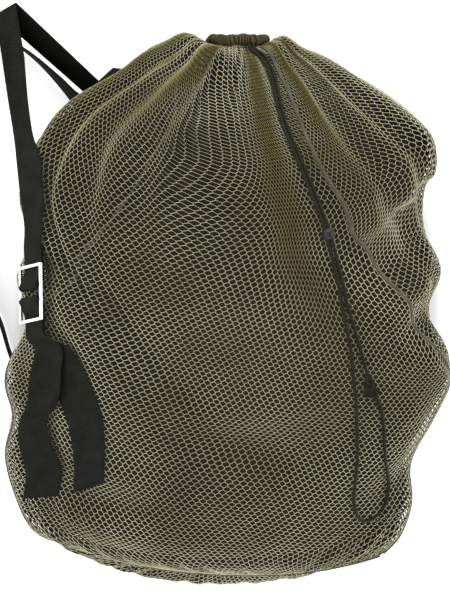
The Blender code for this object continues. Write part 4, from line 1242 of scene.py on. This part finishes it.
FLOOR_DEEP = (0.90, 0.90, 0.90)
FLOOR_PALE = (0.92, 0.92, 0.92)
RIB_SCALE = 105.0
ROW_SCALE = 130.0
METAL_ROUGHNESS = (0.16, 0.34)


# Materials

def shader_nodes(name, roughness, specular=0.5, metallic=0.0):
    """A new material, its node tree and its shader."""
    material = bpy.data.materials.new(name)
    material.use_nodes = True
    tree = material.node_tree
    shader = tree.nodes["Principled BSDF"]
    shader.inputs["Roughness"].default_value = roughness
    shader.inputs["Specular IOR Level"].default_value = specular
    shader.inputs["Metallic"].default_value = metallic
    return material, tree, shader


def node(tree, kind, **values):
    """A new node, with values for its inputs and its own properties."""
    made = tree.nodes.new(f"ShaderNode{kind}")
    for key, value in values.items():
        if key in made.inputs:
            made.inputs[key].default_value = value
        else:
            setattr(made, key, value)
    return made


def texture(tree, kind, where="Object", **values):
    """A texture node that is placed by the piece's own axes, or by its UV."""
    made = node(tree, kind, **values)
    tree.links.new(node(tree, "TexCoord").outputs[where], made.inputs["Vector"])
    return made


def ramp(tree, factor, *stops):
    """Colours between stops, each a place and a colour."""
    made = node(tree, "ValToRGB")
    while len(made.color_ramp.elements) < len(stops):
        made.color_ramp.elements.new(0.5)
    for element, (place, colour) in zip(made.color_ramp.elements, stops):
        element.position = place
        element.color = (*colour, 1.0)
    tree.links.new(factor, made.inputs["Fac"])
    return made.outputs["Color"]


def multiplied(tree, first, second):
    """The product of two colours."""
    mix = node(tree, "Mix", data_type="RGBA", blend_type="MULTIPLY")
    mix.inputs["Factor"].default_value = 1.0
    tree.links.new(first, mix.inputs["A"])
    tree.links.new(second, mix.inputs["B"])
    return mix.outputs["Result"]


def surface(tree, shader, colour, height, distance, strength):
    """Gives a shader its colour and its bumps."""
    bumps = node(tree, "Bump", Strength=strength, Distance=distance)
    tree.links.new(height, bumps.inputs["Height"])
    tree.links.new(bumps.outputs["Normal"], shader.inputs["Normal"])
    tree.links.new(colour, shader.inputs["Base Color"])


def net_material():
    """Olive knotted yarn with painted shade: darker at its foot than on its crown, darker and more golden
    where it is bunched, and darker underneath.
    """
    material, tree, shader = shader_nodes("olive_net", 0.6, 0.14)
    cloud = texture(tree, "TexNoise", Scale=9.0, Detail=3.0)
    fibre = texture(tree, "TexNoise", Scale=900.0, Detail=2.0)
    tone = ramp(tree, cloud.outputs["Fac"], (0.35, NET_DEEP), (0.65, NET_PALE))
    # painted shade: the yarn darkens from its crown down to its foot at the holes
    crown = node(tree, "Attribute", attribute_name="crown")
    lift = ramp(tree, crown.outputs["Fac"], (0.0, NET_FOOT_SHADE), (0.3, NET_FLANK_SHADE), (0.9, WHITE))
    # painted shade: the net turns darker and more golden where it is bunched
    bunch = node(tree, "Attribute", attribute_name="bunch")
    bunched_shade = node(tree, "Mix", data_type="RGBA", blend_type="MIX")
    tree.links.new(bunch.outputs["Fac"], bunched_shade.inputs["Factor"])
    tree.links.new(tone, bunched_shade.inputs["A"])
    bunched_shade.inputs["B"].default_value = (*NET_BUNCHED_SHADE, 1.0)
    colour = multiplied(tree, bunched_shade.outputs["Result"], lift)
    surface(tree, shader, colour, fibre.outputs["Fac"], 0.0003, 0.6)
    return material


def binding_material():
    """Dark olive binding with the fine grain of knitted cloth."""
    material, tree, shader = shader_nodes("olive_binding", 0.75)
    cloud = texture(tree, "TexNoise", Scale=60.0, Detail=3.0)
    grain = texture(tree, "TexVoronoi", Scale=620.0)
    tone = ramp(tree, cloud.outputs["Fac"], (0.35, BINDING_DEEP), (0.65, BINDING_PALE))
    surface(tree, shader, tone, grain.outputs["Distance"], 0.0005, 0.8)
    return material


def webbing_material():
    """Near-black olive webbing with crosswise ribs and a fine lengthwise weave."""
    material, tree, shader = shader_nodes("dark_webbing", 0.75, 0.015)
    ribs = texture(tree, "TexWave", "UV", bands_direction="Y", wave_profile="SIN", Scale=RIB_SCALE,
                   Distortion=0.6, Detail=1.0)
    ribs.inputs["Detail Scale"].default_value = 3.0
    rows = texture(tree, "TexWave", "UV", bands_direction="X", wave_profile="SIN", Scale=ROW_SCALE)
    cloud = texture(tree, "TexNoise", "UV", Scale=40.0, Detail=4.0)
    tone = ramp(tree, cloud.outputs["Fac"], (0.3, WEBBING_DEEP), (0.7, WEBBING_PALE))
    # painted shade in the grooves between the ribs
    shade = ramp(tree, ribs.outputs["Fac"], (0.0, RIB_GROOVE_SHADE), (0.6, WHITE))
    total = node(tree, "Math", operation="MULTIPLY_ADD")
    total.inputs[1].default_value = 0.35
    tree.links.new(rows.outputs["Fac"], total.inputs[0])
    tree.links.new(ribs.outputs["Fac"], total.inputs[2])
    surface(tree, shader, multiplied(tree, tone, shade), total.outputs["Value"], 0.0004, 0.8)
    return material


def cord_material():
    """Near-black olive braid with a fine fibre."""
    material, tree, shader = shader_nodes("dark_braid", 0.55, 0.04)
    fibre = texture(tree, "TexNoise", Scale=1500.0, Detail=2.0).outputs["Fac"]
    surface(tree, shader, ramp(tree, fibre, (0.3, CORD_DEEP), (0.75, CORD_PALE)), fibre, 0.0003, 0.5)
    return material


def lock_material():
    """Black plastic with a soft grain."""
    material, tree, shader = shader_nodes("black_lock", 0.2, 0.2)
    grain = texture(tree, "TexNoise", Scale=700.0, Detail=2.0).outputs["Fac"]
    surface(tree, shader, ramp(tree, grain, (0.3, LOCK_DEEP), (0.7, LOCK_PALE)), grain, 0.0001, 0.3)
    return material


def slide_material():
    """Polished metal with fine rubbed lines and a little dulling."""
    material, tree, shader = shader_nodes("bright_metal", 0.2, metallic=1.0)
    rub = texture(tree, "TexNoise", Scale=260.0, Detail=5.0).outputs["Fac"]
    surface(tree, shader, ramp(tree, rub, (0.3, METAL_DEEP), (0.7, METAL_PALE)), rub, 0.0001, 0.3)
    rough = node(tree, "MapRange")
    rough.inputs["To Min"].default_value, rough.inputs["To Max"].default_value = METAL_ROUGHNESS
    tree.links.new(rub, rough.inputs["Value"])
    tree.links.new(rough.outputs["Result"], shader.inputs["Roughness"])
    return material


# The floor glows round the sack, painted light that lifts the sack's shadows there; it is dark inside an
# ellipse with these two axes in metres.
# The shift of its middle is in shares of them, as are the distances where the glow begins and is full.
SHADOW_LIFT_GLOW = 0.45
GLOW_SCALE = (1.0 / 0.542, 1.0 / 0.74, 0.0)
GLOW_CENTRE = (-0.017, 0.02, 0.0)
GLOW_FROM = 0.49
GLOW_TO = 0.53


def floor_material():
    """Pale floor that glows round the sack, as painted light over the sack's shadows."""
    material, tree, shader = shader_nodes("pale_floor", 0.9)
    cloud = texture(tree, "TexNoise", Scale=3.0, Detail=2.0)
    tone = ramp(tree, cloud.outputs["Fac"], (0.3, FLOOR_DEEP), (0.7, FLOOR_PALE))
    tree.links.new(tone, shader.inputs["Base Color"])
    around = texture(tree, "Mapping", Location=GLOW_CENTRE, Scale=GLOW_SCALE)
    away = node(tree, "VectorMath", operation="LENGTH")
    tree.links.new(around.outputs["Vector"], away.inputs[0])
    glow = ramp(tree, away.outputs["Value"], (GLOW_FROM, BLACK), (GLOW_TO, WHITE))
    tree.links.new(glow, shader.inputs["Emission Color"])
    shader.inputs["Emission Strength"].default_value = SHADOW_LIFT_GLOW
    return material


# Stage

CAMERA_DISTANCE = 8.0
VIEW_HEIGHT = 0.78      # of the picture, at the reference height above the floor
REFERENCE_HEIGHT = 0.1
SENSOR = 36.0
FLOOR_SIZE = 30.0
FLOOR_DROP = 0.0004     # below the lowest pieces
AMBIENT = 0.60
LIGHT_DISTANCE = 2.6    # from the point above the floor that the lights look at
AIM_HEIGHT = 0.15
# Name, azimuth and elevation in degrees, width and height in metres, and watts
LIGHTS = (
    ("key_foot", 0, 32, (2.4, 1.0), 36.0),
    ("fill_right", 90, 30, (2.4, 1.0), 36.0),
    ("fill_left", -90, 30, (2.4, 1.0), 38.0),
    ("fill_high", -40, 62, (1.2, 1.0), 12.0),
    ("rim_mouth", 180, 32, (2.4, 1.0), 54.0),
)


def add_camera():
    """The photo's view: from high above, straight down on the sack."""
    data = bpy.data.cameras.new("photo_view")
    data.sensor_width = SENSOR
    data.lens = SENSOR * (CAMERA_DISTANCE - REFERENCE_HEIGHT) / VIEW_HEIGHT
    data.clip_start = 0.1
    data.clip_end = 100.0
    camera = linked("photo_view", data)
    camera.location = (0.0, 0.0, CAMERA_DISTANCE)
    bpy.context.scene.camera = camera


def softbox(name, azimuth, elevation, size, power):
    """An area light that looks at the sack's middle from that side, in degrees."""
    light = bpy.data.lights.new(name, "AREA")
    light.shape = "RECTANGLE"
    light.size, light.size_y = size
    light.energy = power
    a, e = math.radians(azimuth), math.radians(elevation)
    back = Vector((math.sin(a) * math.cos(e), -math.cos(a) * math.cos(e), math.sin(e)))
    thing = linked(name, light)
    thing.location = Vector((0.0, 0.0, AIM_HEIGHT)) + back * LIGHT_DISTANCE
    thing.rotation_euler = (-back).to_track_quat("-Z", "Y").to_euler()
    thing.visible_camera = False


def add_stage():
    """The floor, the lights and the even light from all round."""
    bpy.ops.mesh.primitive_plane_add(size=FLOOR_SIZE, location=(0.0, 0.0, -FLOOR_DROP))
    floor = bpy.context.object
    floor.name = "floor"
    floor.data.materials.append(floor_material())
    for light in LIGHTS:
        softbox(*light)
    world = bpy.data.worlds.new("studio")
    world.use_nodes = True
    background = world.node_tree.nodes["Background"]
    background.inputs["Color"].default_value = (*WHITE, 1.0)
    background.inputs["Strength"].default_value = AMBIENT
    bpy.context.scene.world = world
    bpy.context.scene.view_settings.view_transform = "Standard"
    bpy.context.scene.view_settings.look = "None"


def main():
    """The camera and the cords come first, then the net, the seams, the straps and the stage."""
    add_camera()
    sack = Skin([nodes["net_front"], nodes["net_back"]])
    braid = cord_material()
    cords = [braided_cord(name, pair_strand(sack, side) + lay(sack, route), braid)
             for name, side, route in (("drawcord_long", -1, CORD_LONG), ("drawcord_short", 1, CORD_SHORT))]
    ball = lock_ball(sack, lock_material())
    knot = overhand_knot(sack, braid)
    tuft = frayed_ends(sack, braid)

    net = net_material()
    table = SkinTable()
    net_panel("front_net", table, 0.0, 0.5, FRONT_TILT, net, "net_front")
    net_panel("back_net", table, 0.5, 1.0, BACK_TILT, net, "net_back")
    binding = binding_material()
    bound_seam("right_side_seam", *side_seam_line(0.0), binding)
    bound_seam("left_side_seam", *side_seam_line(0.5), binding)
    bound_seam("bottom_seam", *bottom_seam_line(), binding)
    gathered_hem(net)

    place = BuckleFrame(sack)
    cloth = webbing_material()
    webbing("shoulder_strap_a", strap_a_stations(sack, place), cloth)
    webbing("adjuster_strap_a", adjuster_stations(sack, place), cloth)
    webbing("shoulder_strap_b", strap_b_stations(sack), cloth)
    slide(place, slide_material())
    add_stage()


main()
